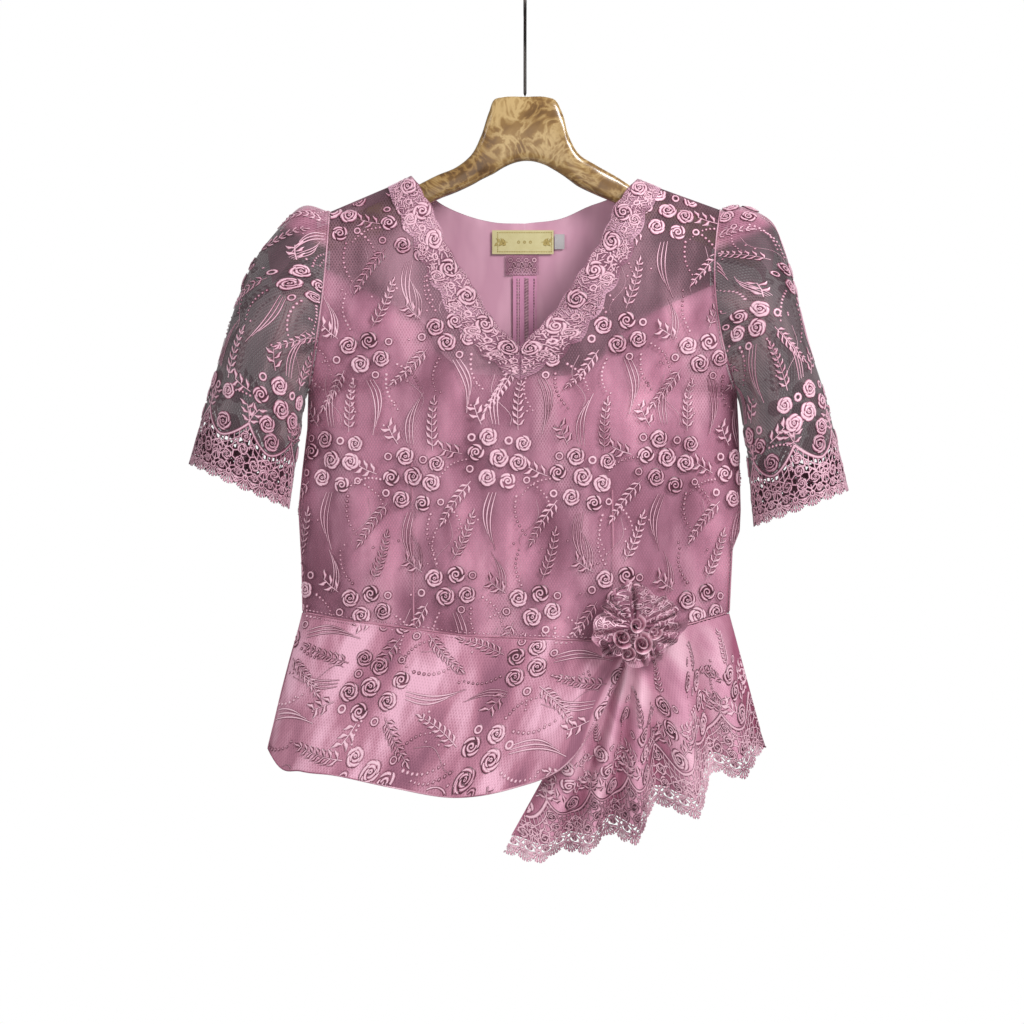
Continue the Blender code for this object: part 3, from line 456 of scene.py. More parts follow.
def spots(panel):
    """Points of a mesh in mm."""
    flat = np.zeros(len(panel.data.vertices) * 3, np.float32)
    panel.data.vertices.foreach_get("co", flat)
    return flat.reshape(-1, 3) / MM


def hollow(cloth, reach, full):
    """How deep a point lies behind the ridges beside it, within reach columns: 1 at a depth of full."""
    out = (cloth.p * np.sign(cloth.n[0, cloth.n.shape[1] // 2, 1]) * (0, 1, 0)).sum(-1)
    wide = np.pad(out, ((0, 0), (reach, reach)), "edge")
    ridge = np.max([wide[:, k : k + out.shape[1]] for k in range(2 * reach + 1)], axis=0)
    return np.clip((ridge - out) / full, 0, 1)


NET_CELL = 2.5  # drawn coarser than the real millimetre, so that it shows
# painted shade: this colour is multiplied into a net's tone in the depth of a fold
FOLD_SHADE = "#A8708A"  # what the depth of a fold takes from the tone


def net(name, dark, middle, light, least, most, lined=None):
    """Knitted net: two slanting sets of threads over broad bands of painted light and shade; least and most
    are its cover.

    lined gives the tones and share of cover that it has where satin lies close behind it and brightens it:
    painted light. With it, painted shade is multiplied in where the ground's y mark is set.
    """
    made, tree, surface = material(name, middle, 0.62, Sheen_Weight=0.25)
    coords = add(tree, "UVMap", uv_map="cloth").outputs[0]
    one, two = (stripes(tree, coords, NET_CELL, turn) for turn in (30, -30))
    threads = add(tree, "Math", {0: one, 1: two}, operation="MAXIMUM").outputs[0]
    stretched = add(tree, "Mapping", {"Vector": coords}, {"Scale": (1.7, 0.7, 1.0)})
    # broad bands stretched along the cloth: painted light and shade of soft folds
    cloud = add(tree, "TexNoise", {"Vector": stretched.outputs[0]}, {"Scale": 13.0, "Detail": 4.0})
    spread = {"From Min": 0.35, "From Max": 0.65, "To Max": 0.7}
    broad = add(tree, "MapRange", {"Value": cloud.outputs["Fac"]}, spread)
    tone = add(tree, "Math", {0: threads, 2: broad.outputs[0]}, {1: 0.2}, operation="MULTIPLY_ADD").outputs[0]
    colour = ramp(tree, tone, (0.15, dark), (0.5, middle), (0.85, light))
    bump = add(tree, "Bump", {"Height": threads}, {"Strength": 0.25, "Distance": 0.0004})
    tree.links.new(bump.outputs[0], surface.inputs["Normal"])
    if least < 1:
        spread = {"From Min": 0.5, "From Max": 1.0, "To Min": least, "To Max": most}
        cover = add(tree, "MapRange", {"Value": threads}, spread).outputs[0]
    if lined:
        marks = add(tree, "SeparateXYZ", {"Vector": add(tree, "UVMap", uv_map="ground").outputs[0]})
        bright = ramp(tree, tone, (0.15, lined[0]), (0.5, lined[1]), (0.85, lined[2]))
        lit = add(tree, "MixRGB", {"Fac": marks.outputs["X"], "Color1": colour, "Color2": bright}).outputs[0]
        # painted shade in the depth of a fold
        shade = {"Fac": 1.0, "Color2": linear(FOLD_SHADE)}
        deep = add(tree, "MixRGB", {"Color1": lit}, shade, blend_type="MULTIPLY").outputs[0]
        colour = add(tree, "MixRGB", {"Fac": marks.outputs["Y"], "Color1": lit, "Color2": deep}).outputs[0]
        if least < 1:
            less = add(tree, "MapRange", {"Value": marks.outputs["X"]}, {"To Min": 1.0, "To Max": lined[3]})
            cover = add(tree, "Math", {0: cover, 1: less.outputs[0]}, operation="MULTIPLY").outputs[0]
    if least < 1:
        tree.links.new(cover, surface.inputs["Alpha"])
    tree.links.new(colour, surface.inputs["Base Color"])
    return made


SATIN = satin("polyester_satin_pink", "#EDA6C3", "#A0627B")
INNER_SATIN = satin("polyester_satin_inner", "#EFBACF", "#D49CB4", 0.36)
# Dark, middle and light tone, least and most cover, and the tones and share of cover over satin
# the sheer net's plain tones are dark: painted shade of the inside of the back, seen through the yoke
NET = net(
    "knitted_net_sheer", "#4C2D39", "#613F4C", "#9A6F7E", 0.5, 0.8, ("#7C465B", "#B27A91", "#EDB4C9", 0.66)
)
LINED_NET = net("knitted_net_on_satin", "#8F566E", "#B8788F", "#EDB6CC", 1, 1)
DRAPE_NET = net(
    "knitted_net_drape", "#52303D", "#7C4C5E", "#B07C90", 1, 1, ("#BE7C97", "#DC9DB6", "#F2C0D2")
)
SHEER_NET = net(
    "knitted_net_sleeve", "#45333A", "#5A444C", "#86686F", 0.62, 0.92, ("#9A5F77", "#C6879F", "#EBB2C7", 0.85)
)
TRIM_NET = net("knitted_net_trim", "#7E4A60", "#A06A82", "#DCA9BF", 0.5, 0.95)
PETAL_NET = net(
    "knitted_net_corsage", "#7C485D", "#A66C84", "#D7A1B8", 0.75, 0.98, ("#A9708A", "#D197AE", "#F0C2D3", 1)
)

# %% [markdown]
# ## Embroidery thread
# The flowers are stitched in shiny rayon, so they catch more light than the net. Stitches lie close
# together, drawn here as a fine ripple, and the thread's tone drifts a little from flower to flower. The
# colour also holds painted shadow where a band sinks into the net, a painted highlight on its ridge, and
# broad patches of painted shade.


# %% Thread
def thread(name, light, dark, edge, ripple=1.1):
    """Rayon thread: painted shadow where a band meets the net, painted highlight on its ridge, broad patches
    of painted shade and light drifting over the cloth.
    """
    made, tree, surface = material(name, light, 0.38, Sheen_Weight=0.25, Sheen_Roughness=0.35)
    marks = add(tree, "SeparateXYZ", {"Vector": add(tree, "UVMap", uv_map="cloth").outputs[0]})
    coords = add(tree, "TexCoord").outputs["Object"]
    fine = add(tree, "TexNoise", {"Vector": coords}, {"Scale": 1 / (ripple * MM), "Detail": 2.0})
    cloud = add(tree, "TexNoise", {"Vector": coords}, {"Scale": 17.0, "Detail": 3.0})
    # broad patches over the cloth: painted shade, and a little painted light
    spread = {"From Min": 0.35, "From Max": 0.65, "To Min": -0.3, "To Max": 0.12}
    drift = add(tree, "MapRange", {"Value": cloud.outputs["Fac"]}, spread)
    scaled = "MULTIPLY_ADD"  # the first input times a share, plus the third
    ridge = add(tree, "Math", {0: fine.outputs["Fac"], 2: marks.outputs["X"]}, {1: 0.3}, operation=scaled)
    tone = add(tree, "Math", {0: marks.outputs["Y"], 2: ridge.outputs[0]}, {1: 0.14}, operation=scaled)
    tone = add(tree, "Math", {0: tone.outputs[0], 1: drift.outputs[0]}, operation="ADD")
    # edge: painted shadow at the band's sides; light: painted highlight on its ridge
    colour = ramp(tree, tone.outputs[0], (0.32, edge), (0.62, dark), (1.05, light))
    tree.links.new(colour, surface.inputs["Base Color"])
    bump = add(tree, "Bump", {"Height": fine.outputs["Fac"]}, {"Strength": 0.4, "Distance": 0.0004})
    tree.links.new(bump.outputs[0], surface.inputs["Normal"])
    return made


# each thread's last tone is the painted shadow where its bands sink into the net
THREAD = thread("rayon_embroidery", "#F4CAD9", "#B4738B", "#552636")
CORD_THREAD = thread("rayon_cord_lace", "#ECC0CF", "#A4677E", "#4C2333")
SEAM_THREAD = thread("seam_thread", "#D497AC", "#B07388", "#7A4456")
PETAL_THREAD = thread("rayon_corsage", "#F8D6E2", "#CC90A6", "#784056")
# darker copy of the cord thread for the back halves of the cuffs: painted shade of the sleeve's inside
SHADED_CUFF_THREAD = thread("rayon_cord_lace_shaded", "#B98497", "#8C566B", "#48222F")

# %% [markdown]
# ## Stitched motifs
# All embroidery is made of two things: a band of satin stitch, which is a line with a width and a raised
# middle, and a knot, a small dome. Roses, coils, rings, fern sprays and bead strings are bands and knots
# along curves. Each motif is made once, flat, with few faces, because it is repeated hundreds of times.


# %% Sizes of the lace border
BORDER, ARCH_WIDE, ARCH_DEEP, ARCH_POWER, FAN_TOP = 64.0, 54.0, 21.0, 1.7, 21.0
# bands are widened so that their painted shadow rim shows round them
SHADOW_FRINGE = 1.5  # the dark rim where a band sinks into the net widens it by this much


def arch_drop(f):
    """How far the arches of the lace border hang below their cusps."""
    share = np.abs(2 * (np.asarray(f) / ARCH_WIDE % 1.0) - 1)
    return ARCH_DEEP * (1 - share**ARCH_POWER)


# %% Bands and knots
def tris(quads):
    """Splits quads in two."""
    return np.concatenate((quads[:, :3], quads[:, [0, 2, 3]]))


def band(line, width, height=0.8, lift=0.0):
    """Band of stitches: three points across at each point of the line, the middle raised and marked 1."""
    line = np.asarray(line, float)
    heading = np.gradient(line, axis=0)
    side = unit(np.stack((-heading[:, 1], heading[:, 0]), -1))
    half = np.broadcast_to(np.asarray(width, float) * SHADOW_FRINGE / 2, (len(line),))[:, None]
    flat = np.stack((line - side * half, line, line + side * half), 1)
    # sides marked 0, middle 1: the thread paints shadow at the sides and a highlight on the middle
    ridge = np.broadcast_to(np.array((0.0, 1.0, 0.0)), flat.shape[:2])[..., None]
    points = np.concatenate((flat, ridge * height + lift, ridge), -1).reshape(-1, 4)
    return points, tris(grid_faces(len(line), 3))


def knot(x, y, radius, height=0.9, lift=0.0, sides=6):
    """Small dome: a ring and a raised middle."""
    a = np.linspace(0, 2 * math.pi, sides, endpoint=False)
    flat, k = np.ones(sides), np.arange(sides)
    # the ring is marked 0.25, so the thread paints shadow round the dome's foot
    ring = np.stack((x + radius * np.cos(a), y + radius * np.sin(a), lift * flat, 0.25 * flat), -1)
    faces = np.stack((k, (k + 1) % sides, np.full(sides, sides)), -1)
    return np.vstack((ring, (x, y, lift + height, 1.0))), faces


def combine(parts):
    """One motif from several."""
    starts = np.cumsum([0] + [len(p[0]) for p in parts[:-1]])
    return np.concatenate([p[0] for p in parts]), np.concatenate([p[1] + s for p, s in zip(parts, starts)])


def arc(x, y, radius, start, end, count):
    """Points of a circular arc, angles in degrees."""
    a = np.radians(np.linspace(start, end, count))
    return np.stack((x + radius * np.cos(a), y + radius * np.sin(a)), -1)


def spiral(radius0, radius1, turns, count, start=0.0):
    """Points of a spiral that opens evenly."""
    t = np.linspace(0, 1, count)
    a = math.radians(start) + 2 * math.pi * turns * t
    r = radius0 + (radius1 - radius0) * t
    return np.stack((r * np.cos(a), r * np.sin(a)), -1)


# %% Motifs
def disc(radius, sides=12):
    """Flat patch of stitches under a flower, marked dark: painted shade in the gaps between its petals."""
    points, faces = knot(0, 0, radius, 0.02, 0.0, sides)
    points[:, 3] = 0.2
    return points, faces


def petal(start, end, reach, opening, width, height, lift):
    """Thick petal from one angle to another: it moves out by twice the opening and narrows at both ends."""
    t = np.linspace(-1, 1, 9)
    taper = np.sqrt(np.clip(1.03 - t**2, 0, 1))
    return band(arc(0, 0, 1, start, end, 9) * (reach + opening * t)[:, None], width * taper, height, lift)


def rose(petals=5, inner=3):
    """Rose of radius 1: two rounds of thick petals, each lapping over the next, and a coiled heart."""
    parts = [disc(0.92)]
    for middle in (360 * k / petals + 11 * (k % 2) for k in range(petals)):
        parts.append(petal(middle - 47, middle + 47, 0.74, 0.1, 0.3, 0.13, 0.03))
    for middle in (360 * k / inner + 35 for k in range(inner)):
        parts.append(petal(middle - 66, middle + 66, 0.42, 0.07, 0.24, 0.13, 0.07))
    return combine(parts + [band(spiral(0.03, 0.2, 1.1, 9), 0.14, 0.12, 0.1)])


def coil():
    """Second rose of radius 1: one thick spiral with four petals round it."""
    parts = [disc(0.9), band(spiral(0.07, 0.5, 1.4, 20, 20), 0.2, 0.13, 0.06)]
    return combine(parts + [petal(90 * k - 44, 90 * k + 46, 0.74, 0.09, 0.29, 0.12, 0.03) for k in range(4)])


def ring():
    """Eyelet of radius 1 with a stitched rim."""
    return band(arc(0, 0, 0.72, 0, 360, 11), 0.46, 0.2)


def fern(pairs=7, length=48.0):
    """Spray of leaves in pairs along a bent stem, with one leaf at its tip."""
    t = np.linspace(0, 1, 9)
    stem = np.stack((3.5 * np.sin(t * 2.2), t * length), -1)
    parts = [band(stem, 0.9 - 0.4 * t, 0.5)]
    for k in range(pairs):
        s = (k + 0.7) / pairs
        x, y = 3.5 * math.sin(s * 2.2), s * length * 0.98
        long = 9.6 * (1 - 0.5 * s) * min(1, s * 4 + 0.5)
        for side in (-1, 1):
            tip = np.array((x + side * long * 0.7, y + long * 0.78))
            middle = np.array((x + side * long * 0.42, y + long * 0.3))
            parts.append(band([(x, y), middle, tip], (0.5, 2.7, 0.4), 1.0))
    x = stem[-1, 0]
    parts.append(band([(x, length - 1), (x, length + 3), (x - 0.6, length + 7)], (0.5, 2.4, 0.3), 0.9))
    return combine(parts)


def sprig(leaves=5, length=17.0):
    """Short leafy twig beside a flower."""
    parts = [band([(0, 0), (0.6, length * 0.5), (0, length)], 0.8, 0.5)]
    for k in range(leaves):
        side = 1 if k % 2 else -1
        y = length * (0.18 + 0.2 * k)
        parts.append(band([(0, y), (side * 3.6, y + 1.6), (side * 6.4, y + 5.2)], (0.5, 3.0, 0.3), 0.7))
    return combine(parts)


def beads(count=9, spacing=4.3, bend=5.0):
    """String of knots along a bent line."""
    t = np.linspace(0, 1, count)
    return combine([knot(bend * math.sin(math.pi * s), s * spacing * count, 2.0 - 0.6 * s, 1.1) for s in t])


def strands(length=52.0, count=3):
    """Curved parallel lines of stem stitch."""
    parts = []
    for k in range(count):
        t = np.linspace(0, 1, 12)
        long = length * (1 - 0.14 * k)
        line = np.stack((k * 3.1 + 5.5 * np.sin(t * 2.9), t * long), -1)
        parts.append(band(line, 1.25 * np.sin(np.pi * np.clip(t, 0.08, 0.94)) ** 0.4, 0.5))
    return combine(parts)


def vine(length=60.0):
    """Thin line that wanders over the net."""
    t = np.linspace(0, 1, 14)
    return band(np.stack((9 * np.sin(t * 5.5) * (0.4 + t), t * length), -1), 0.55, 0.3)


def fan(spokes=8, reach=12.0):
    """Scallop of the border: an eyelet with spokes that spread down to a rounded edge, and three above."""
    parts = [band(arc(0, 0, 2.5, 0, 360, 11), 1.7, 0.7)]
    for angle in np.radians(np.linspace(195, 345, spokes)):
        way = np.array((math.cos(angle), math.sin(angle)))
        parts.append(band([way * 3.2, way * reach * 0.7, way * reach], (1.0, 1.5, 2.0), 0.7))
    parts.append(band(arc(0, 0, reach * 0.8, 188, 352, 15), 1.1, 0.6))
    for angle in np.radians((40, 90, 140)):
        way = np.array((math.cos(angle), math.sin(angle)))
        parts.append(band([way * 3.2, way * 9.0], 1.0, 0.5))
    return combine(parts)


def arch():
    """One arch of the border, its cusps at y = 0: two lines, and bars that run down to a third line."""
    x = np.linspace(-ARCH_WIDE / 2, ARCH_WIDE / 2, 23)
    low = -ARCH_DEEP * (1 - np.abs(2 * x / ARCH_WIDE) ** ARCH_POWER)
    parts = [band(np.stack((x, low), -1), 2.6, 0.9), band(np.stack((x, low - 7.5), -1)[2:-2], 1.1, 0.6)]
    parts.append(band(np.stack((x * 0.86, low - 15.5), -1)[3:-3], 1.1, 0.6))
    for k in range(1, 22, 2):
        wide = x[k] * (1 + 0.12 * (1 if k % 4 == 1 else 0.5))
        parts.append(band([(x[k], low[k]), (wide, low[k] - 8), (wide * 0.98, low[k] - 15.5)], 1.1, 0.5))
    return combine(parts)


def tulip():
    """Drooping flower of the border: a stem with a bud and three leaf pairs."""
    parts = [band([(0, 12), (0, -10)], 1.0, 0.5), band([(0, -9), (0, -14)], (0.6, 2.6), 0.8)]
    for k, wide in enumerate((6.5, 5.5, 4.0)):
        for side in (-1, 1):
            y, x = 9 - 6.5 * k, side * wide
            parts.append(band([(0, y), (x * 0.7, y - 2.2), (x, y - 6.5)], (0.6, 2.9, 0.5), 0.8))
    return combine(parts)


MOTIFS = {
    "rose": rose(), "coil": coil(), "ring": ring(), "fern": fern(), "sprig": sprig(), "beads": beads(),
    "strands": strands(), "vine": vine(), "fan": fan(), "arch": arch(), "tulip": tulip(),
    "small_rose": rose(4, 2), "dot": knot(0, 0, 1.5, 0.8), "bar": band([(0, -1.75), (0, 1.75)], 0.9, 0.5),
}
print("faces a motif:", {k: len(v[1]) for k, v in MOTIFS.items()})

# %% [markdown]
# ## The repeat of the lace
# The pattern is a common rose-and-fern allover: a bunch of roses every 84 mm, with ferns, bead strings and
# curved strands hanging from it. A second, smaller bunch lies half a drop lower and to the left, and every
# other column is staggered. The tables hold one repeat.

# %% Repeat
# Motif, across and down from the middle of the bunch, turn in degrees, size (a radius for flowers and
# rings, a factor for the rest), flipped or not.
REPEAT_WIDE, REPEAT_DROP, SECOND, STAGGER = 84.0, 254.0, (-47.0, 127.0), 20.0
FIRST_BUNCH = [
    ("rose", -6, -21, 0, 9.8, 0), ("coil", -21, -5, 60, 9.2, 0), ("rose", 2, -1, 40, 10.4, 0),
    ("rose", 22, 5, 80, 9.6, 0), ("rose", -9, 19, 10, 9.4, 0), ("coil", 12, 25, 20, 9.0, 0),
    ("rose", 27, -15, 50, 8.6, 0), ("ring", -23, -22, 0, 4.6, 0), ("ring", 12, -17, 0, 4.6, 0),
    ("ring", -27, 13, 0, 4.4, 0), ("ring", 30, 22, 0, 4.0, 0),
    ("sprig", -33, -4, 66, 1.2, 1), ("sprig", -14, -33, 26, 1.2, 1),
    ("fern", -24, 22, 146, 1.0, 0), ("fern", 22, -27, -10, 1.0, 1), ("strands", 2, 34, 182, 1.1, 0),
    ("strands", 4, -33, -6, 1.0, 1), ("beads", 21, 36, 190, 1.0, 0), ("beads", 36, 26, 206, 0.9, 1),
    ("beads", -30, 0, 112, 0.8, 0), ("vine", 40, 40, 170, 0.8, 1), ("dot", -14, 62, 0, 1, 0),
    ("dot", 44, 62, 0, 1, 0), ("dot", -38, 70, 0, 1, 0), ("dot", 16, 84, 0, 1, 0), ("dot", -26, -52, 0, 1, 0),
]
SECOND_BUNCH = [
    ("rose", -14, -8, 0, 9.8, 0), ("coil", 7, -13, 130, 9.6, 0), ("rose", -2, 10, 70, 10.2, 0),
    ("rose", 19, 5, 10, 9.2, 0), ("ring", -26, 5, 0, 4.6, 0), ("ring", 24, -11, 0, 4.4, 0),
    ("ring", 12, 22, 0, 4.4, 0), ("sprig", -26, -15, 50, 1.2, 1),
    ("fern", 8, -26, -16, 1.0, 0), ("fern", -20, 16, 138, 1.0, 1), ("strands", 4, 26, 182, 1.1, 1),
    ("strands", -34, -14, 10, 0.8, 0), ("beads", -13, -23, 10, 0.9, 1), ("beads", 22, 22, 200, 1.0, 0),
    ("beads", 33, 10, 216, 0.9, 1), ("beads", -10, 26, 176, 0.9, 0), ("dot", -38, 8, 0, 1, 0),
    ("dot", 42, 30, 0, 1, 0), ("dot", -8, 62, 0, 1, 0), ("dot", 30, 52, 0, 1, 0),
    ("vine", -38, 22, 184, 0.9, 0),
]
REPEAT = FIRST_BUNCH + [(k, x + SECOND[0], y + SECOND[1], *rest) for k, x, y, *rest in SECOND_BUNCH]


def tile(start, crosswise=False, loose=1.0):
    """Placements of the repeat round a bunch at f, g, each a little off; crosswise is a quarter turn."""
    placed = []
    for j in range(-2, 4):
        for i in range(-6, 8):
            f0, g0 = start[0] + i * REPEAT_WIDE, start[1] + j * REPEAT_DROP + STAGGER * (i % 2)
            for kind, x, y, turn, size, flip in REPEAT:
                dx, dy, dt = rng.normal(0, loose, 3)
                placed.append((kind, f0 + x + dx, g0 + y + dy, turn + 5 * dt, size, flip))
    if crosswise:
        placed = [(kind, g, -f, turn + 90, size, flip) for kind, f, g, turn, size, flip in placed]
    return placed


def steps_across(reach, step):
    """Whole steps from before the cloth's left edge to its right edge."""
    return range(int(reach[0] / step) - 1, int(reach[1] / step) + 1)


WEB_SIDE, WEB_FOOT, WEB_LEVELS, BAR_SIZE = 5.2, 15.0, 39.0, 1.55
ROOT_3 = 1.732


def border(hem, reach):
    """Placements of the lace border above the hem's g: arches, roses and fans, and a web of hexagons."""
    placed = []
    for i in steps_across(reach, ARCH_WIDE):
        f, middle = i * ARCH_WIDE, (i + 0.5) * ARCH_WIDE
        placed += [
            ("arch", middle, hem - BORDER, 0, 1, 0), ("rose", middle, hem - BORDER + 8, 30 * i, 10.0, 0),
            ("tulip", middle, hem - 30, 0, 0.9, 0), ("sprig", f + 1, hem - BORDER, 24, 1.1, 0),
            ("sprig", f - 1, hem - BORDER, -24, 1.1, 1), ("coil", f, hem - 51, 60 * i, 5.8, 0),
            ("small_rose", f, hem - 38, 45 * i, 6.0, 0), ("coil", f, hem - 26, 70, 6.0, 0),
            ("small_rose", f + 15, hem - 27, 20, 6.0, 0), ("small_rose", f + 39, hem - 27, 90, 6.0, 0),
            ("ring", f + 9, hem - 44, 0, 2.8, 0), ("ring", f + 45, hem - 44, 0, 2.8, 0),
        ]
        placed += [("fan", f + x, hem - 12.5, 0, 1.0, 0) for x in (9, 27, 45)]
        placed += [("small_rose", f + x, hem - 16.5, 40 * x, 4.6, 0) for x in (0, 18, 36)]
    high, across = WEB_SIDE * 1.5, WEB_SIDE * ROOT_3
    df, dg = WEB_SIDE * 0.433, -WEB_SIDE * 0.75
    for j in range(int(WEB_LEVELS / high)):
        for i in steps_across(reach, across):
            f = (i + 0.5 * (j % 2)) * WEB_SIDE * ROOT_3
            g = hem - WEB_FOOT - j * high
            if g >= hem - BORDER + arch_drop(f) + 12:
                placed += [
                    ("bar", f + x, g + y, turn + rng.uniform(-9, 9), BAR_SIZE, 0)
                    for x, y, turn in ((0, 0, 0), (df, dg, -60), (-df, dg, 60))
                ]
    return placed


def stamp(cloth, placed, lift=0.3, keep=None, relief=1.0):
    """Lays motifs on a cloth and drops the faces that fall outside it.

    Gives points, faces and marks; a mark is how high on its band a point lies, and its flower's own tone.
    """
    points, faces, marks, start = [], [], [], 0
    for kind in sorted({row[0] for row in placed}):
        base, corners = MOTIFS[kind]
        rows = np.array([row[1:] for row in placed if row[0] == kind], float)
        near = (rows[:, 0] > cloth.reach[0] - 60) & (rows[:, 0] < cloth.reach[1] + 60)
        rows = rows[near & (rows[:, 1] > -70) & (rows[:, 1] < cloth.reach[2] + 70)]
        f, g, turn, size, flip = (rows[:, k : k + 1] for k in range(5))
        c, s = np.cos(np.radians(turn)), np.sin(np.radians(turn))
        x = base[None, :, 0] * size * (1 - 2 * flip)
        y = base[None, :, 1] * size
        h = lift + relief * base[None, :, 2] * np.where(size > 3, size, 1)
        spot, inside = cloth.place(f + c * x - s * y, g - (s * x + c * y), h)
        if keep is not None:
            inside &= keep(spot)
        whole = inside[:, corners].all(-1)
        index = corners[None] + (np.arange(len(rows)) * len(base))[:, None, None]
        index = np.where(flip[:, :, None] > 0, index[:, :, ::-1], index)
        tone = np.broadcast_to(rng.random((len(rows), 1)), h.shape)
        points.append(spot.reshape(-1, 3))
        marks.append(np.stack((np.broadcast_to(base[None, :, 3], h.shape), tone), -1).reshape(-1, 2))
        faces.append(index[whole] + start)
        start += points[-1].shape[0]
    points, faces, marks = np.concatenate(points), np.concatenate(faces), np.concatenate(marks)
    used, compact = np.unique(faces, return_inverse=True)
    return points[used], compact.reshape(-1, 3), marks[used]


def stitched(name, look, stamped):
    """Mesh of stamped stitches."""
    points, faces, marks = stamped
    return make(name, points, faces, look, marks)


# %% [markdown]
# ## Panels
# Each half of the front is drawn between four border lines: shoulder, neck edge and centre, armhole and
# side, waist. A point inside blends the four lines, so the cloth meets each seam exactly. The back and the
# skirt pieces are level grids, and the draped piece opens its folds from the corsage down to the hem.


# %% Borders
UNDERARM_SHARE, NECK_SHARE, SIDE_WAIST, HALF_COLUMNS = 0.42, 0.58, -627, 34
FRONT_WAY, BACK_WAY = np.array((0.0, -1.0, 0.0)), np.array((0.0, 1.0, 0.0))


def patch(top, bottom, inner, outer, u, v):
    """Points between four border lines, each a function of 0 to 1: sum of both blends less the corners'."""
    u, v = np.asarray(u, float)[None, :], np.asarray(v, float)[:, None]
    zero, one = np.zeros((1, 1)), np.ones((1, 1))
    across = (1 - u)[..., None] * inner(v) + u[..., None] * outer(v)
    down = (1 - v)[..., None] * top(u) + v[..., None] * bottom(u)
    upper = (1 - u)[..., None] * top(zero) + u[..., None] * top(one)
    lower = (1 - u)[..., None] * bottom(zero) + u[..., None] * bottom(one)
    return across + down - (1 - v)[..., None] * upper - v[..., None] * lower


def line(start, end):
    """Straight border."""
    start, end = np.array(start, float), np.array(end, float)
    return lambda t: start + (end - start) * np.asarray(t, float)[..., None]


def side_line(left, top, waist):
    """Border from height top on the armhole down to the waist."""
    arm = ARM_LEFT if left else ARM_RIGHT
    bottom = arm["z"] - arm["az"]

    def border(t):
        """Armhole for the first share of t, side seam for the rest."""
        t = np.asarray(t, float)
        high = top + (bottom - top) * t / UNDERARM_SHARE  # on the armhole
        low = bottom + (waist - bottom) * (t - UNDERARM_SHARE) / (1 - UNDERARM_SHARE)
        z = np.where(t < UNDERARM_SHARE, high, low)
        return np.stack((edge_x(left, z), z), -1)

    return border


def front_half(left, top, inner):
    """Half of the front between the given top line, the given centre line, the side and the waist."""
    end = float(edge_x(left, SIDE_WAIST))
    start_z = (TIP_LEFT if left else TIP_RIGHT)[1] if top[-1][1] > -240 else top[-1][1]

    def waist(t):
        """Waist seam from the centre to the side."""
        x = CENTRE_X + (end - CENTRE_X) * np.asarray(t, float)
        return np.stack((x, along_x(WAIST, x)), -1)

    side = side_line(left, start_z, float(along_x(WAIST, end)))
    u, v = 1 - (1 - np.linspace(0, 1, HALF_COLUMNS)) ** CROWDING, np.linspace(0, 1, 64)
    flat = patch(lambda t: curve(top, t), waist, inner, side, u, v)
    return front_surface(flat[..., 0], flat[..., 1])


def neck_inner(left):
    """Down the neck edge, then down the centre to the waist."""
    rows = NECK_LEFT if left else NECK_RIGHT
    below = line(rows[-1], (CENTRE_X, float(along_x(WAIST, CENTRE_X))))

    def border(t):
        """Neck edge for the first share of t, centre line for the rest."""
        t = np.asarray(t, float)
        edge = curve(rows, np.clip(t / UNDERARM_SHARE, 0, 1))
        return np.where(
            (t < UNDERARM_SHARE)[..., None], edge,
            below(np.clip((t - UNDERARM_SHARE) / (1 - UNDERARM_SHARE), 0, 1)),
        )

    return border


# %% Front and its lining
LINING_TOP_LEFT = [(-5, -392), (-60, -388), (-85, -370), (-102, -342), (-142, -318), (-203, -286)]
LINING_TOP_RIGHT = [(-5, -392), (50, -390), (75, -376), (95, -350), (134, -326), (187, -302)]
LINING_GAP, CLOTH = 1.0, 1.0


def joined(make_half):
    """Left half mirrored in order and joined to the right half, as one grid."""
    left, right = make_half(True), make_half(False)
    return np.concatenate((left[:, ::-1], right), axis=1)


def net_half(left):
    """Front half with the neck cut out."""
    neck, tip = (NECK_LEFT[0], TIP_LEFT) if left else (NECK_RIGHT[0], TIP_RIGHT)
    return front_half(left, [neck, tip], neck_inner(left))


def lining_half(left):
    """Lining half under the sweetheart line."""
    top = LINING_TOP_LEFT if left else LINING_TOP_RIGHT
    return front_half(left, top, line(top[0], (CENTRE_X, float(along_x(WAIST, CENTRE_X)))))


def level_grid(surface, z, shares):
    """Level rows of a side of the body: columns at shares of the way from the centre to each edge."""
    z = np.asarray(z, float)[:, None] + 0 * np.asarray(shares)[None, :]
    s = np.asarray(shares)[None, :]
    x = CENTRE_X + np.where(s < 0, -s * (edge_x(True, z) - CENTRE_X), s * (edge_x(False, z) - CENTRE_X))
    return surface(x, z)


net_front = Cloth(joined(net_half), FRONT_WAY)
lining_front = Cloth(joined(lining_half), FRONT_WAY, offset=-(CLOTH + 2 * LINING_GAP))
front_net = weld(net_front.shell("front_net", NET, level=True, split=HALF_COLUMNS - 1))
seen = spots(front_net)
sweetheart = along_x(sorted(set(LINING_TOP_LEFT + LINING_TOP_RIGHT)), seen[:, 0])
mark_ground(front_net, np.clip((sweetheart - seen[:, 2]) / 9 + 0.5, 0, 1), 0)
front_satin = weld(lining_front.shell("front_satin", SATIN, "satin", level=True, split=HALF_COLUMNS - 1))
SHARES = np.linspace(-1, 1, 81)
SHARES = np.sign(SHARES) * (1 - (1 - np.abs(SHARES)) ** CROWDING)
front_map = Cloth(level_grid(front_surface, np.linspace(-190, -662, 120), SHARES), FRONT_WAY)


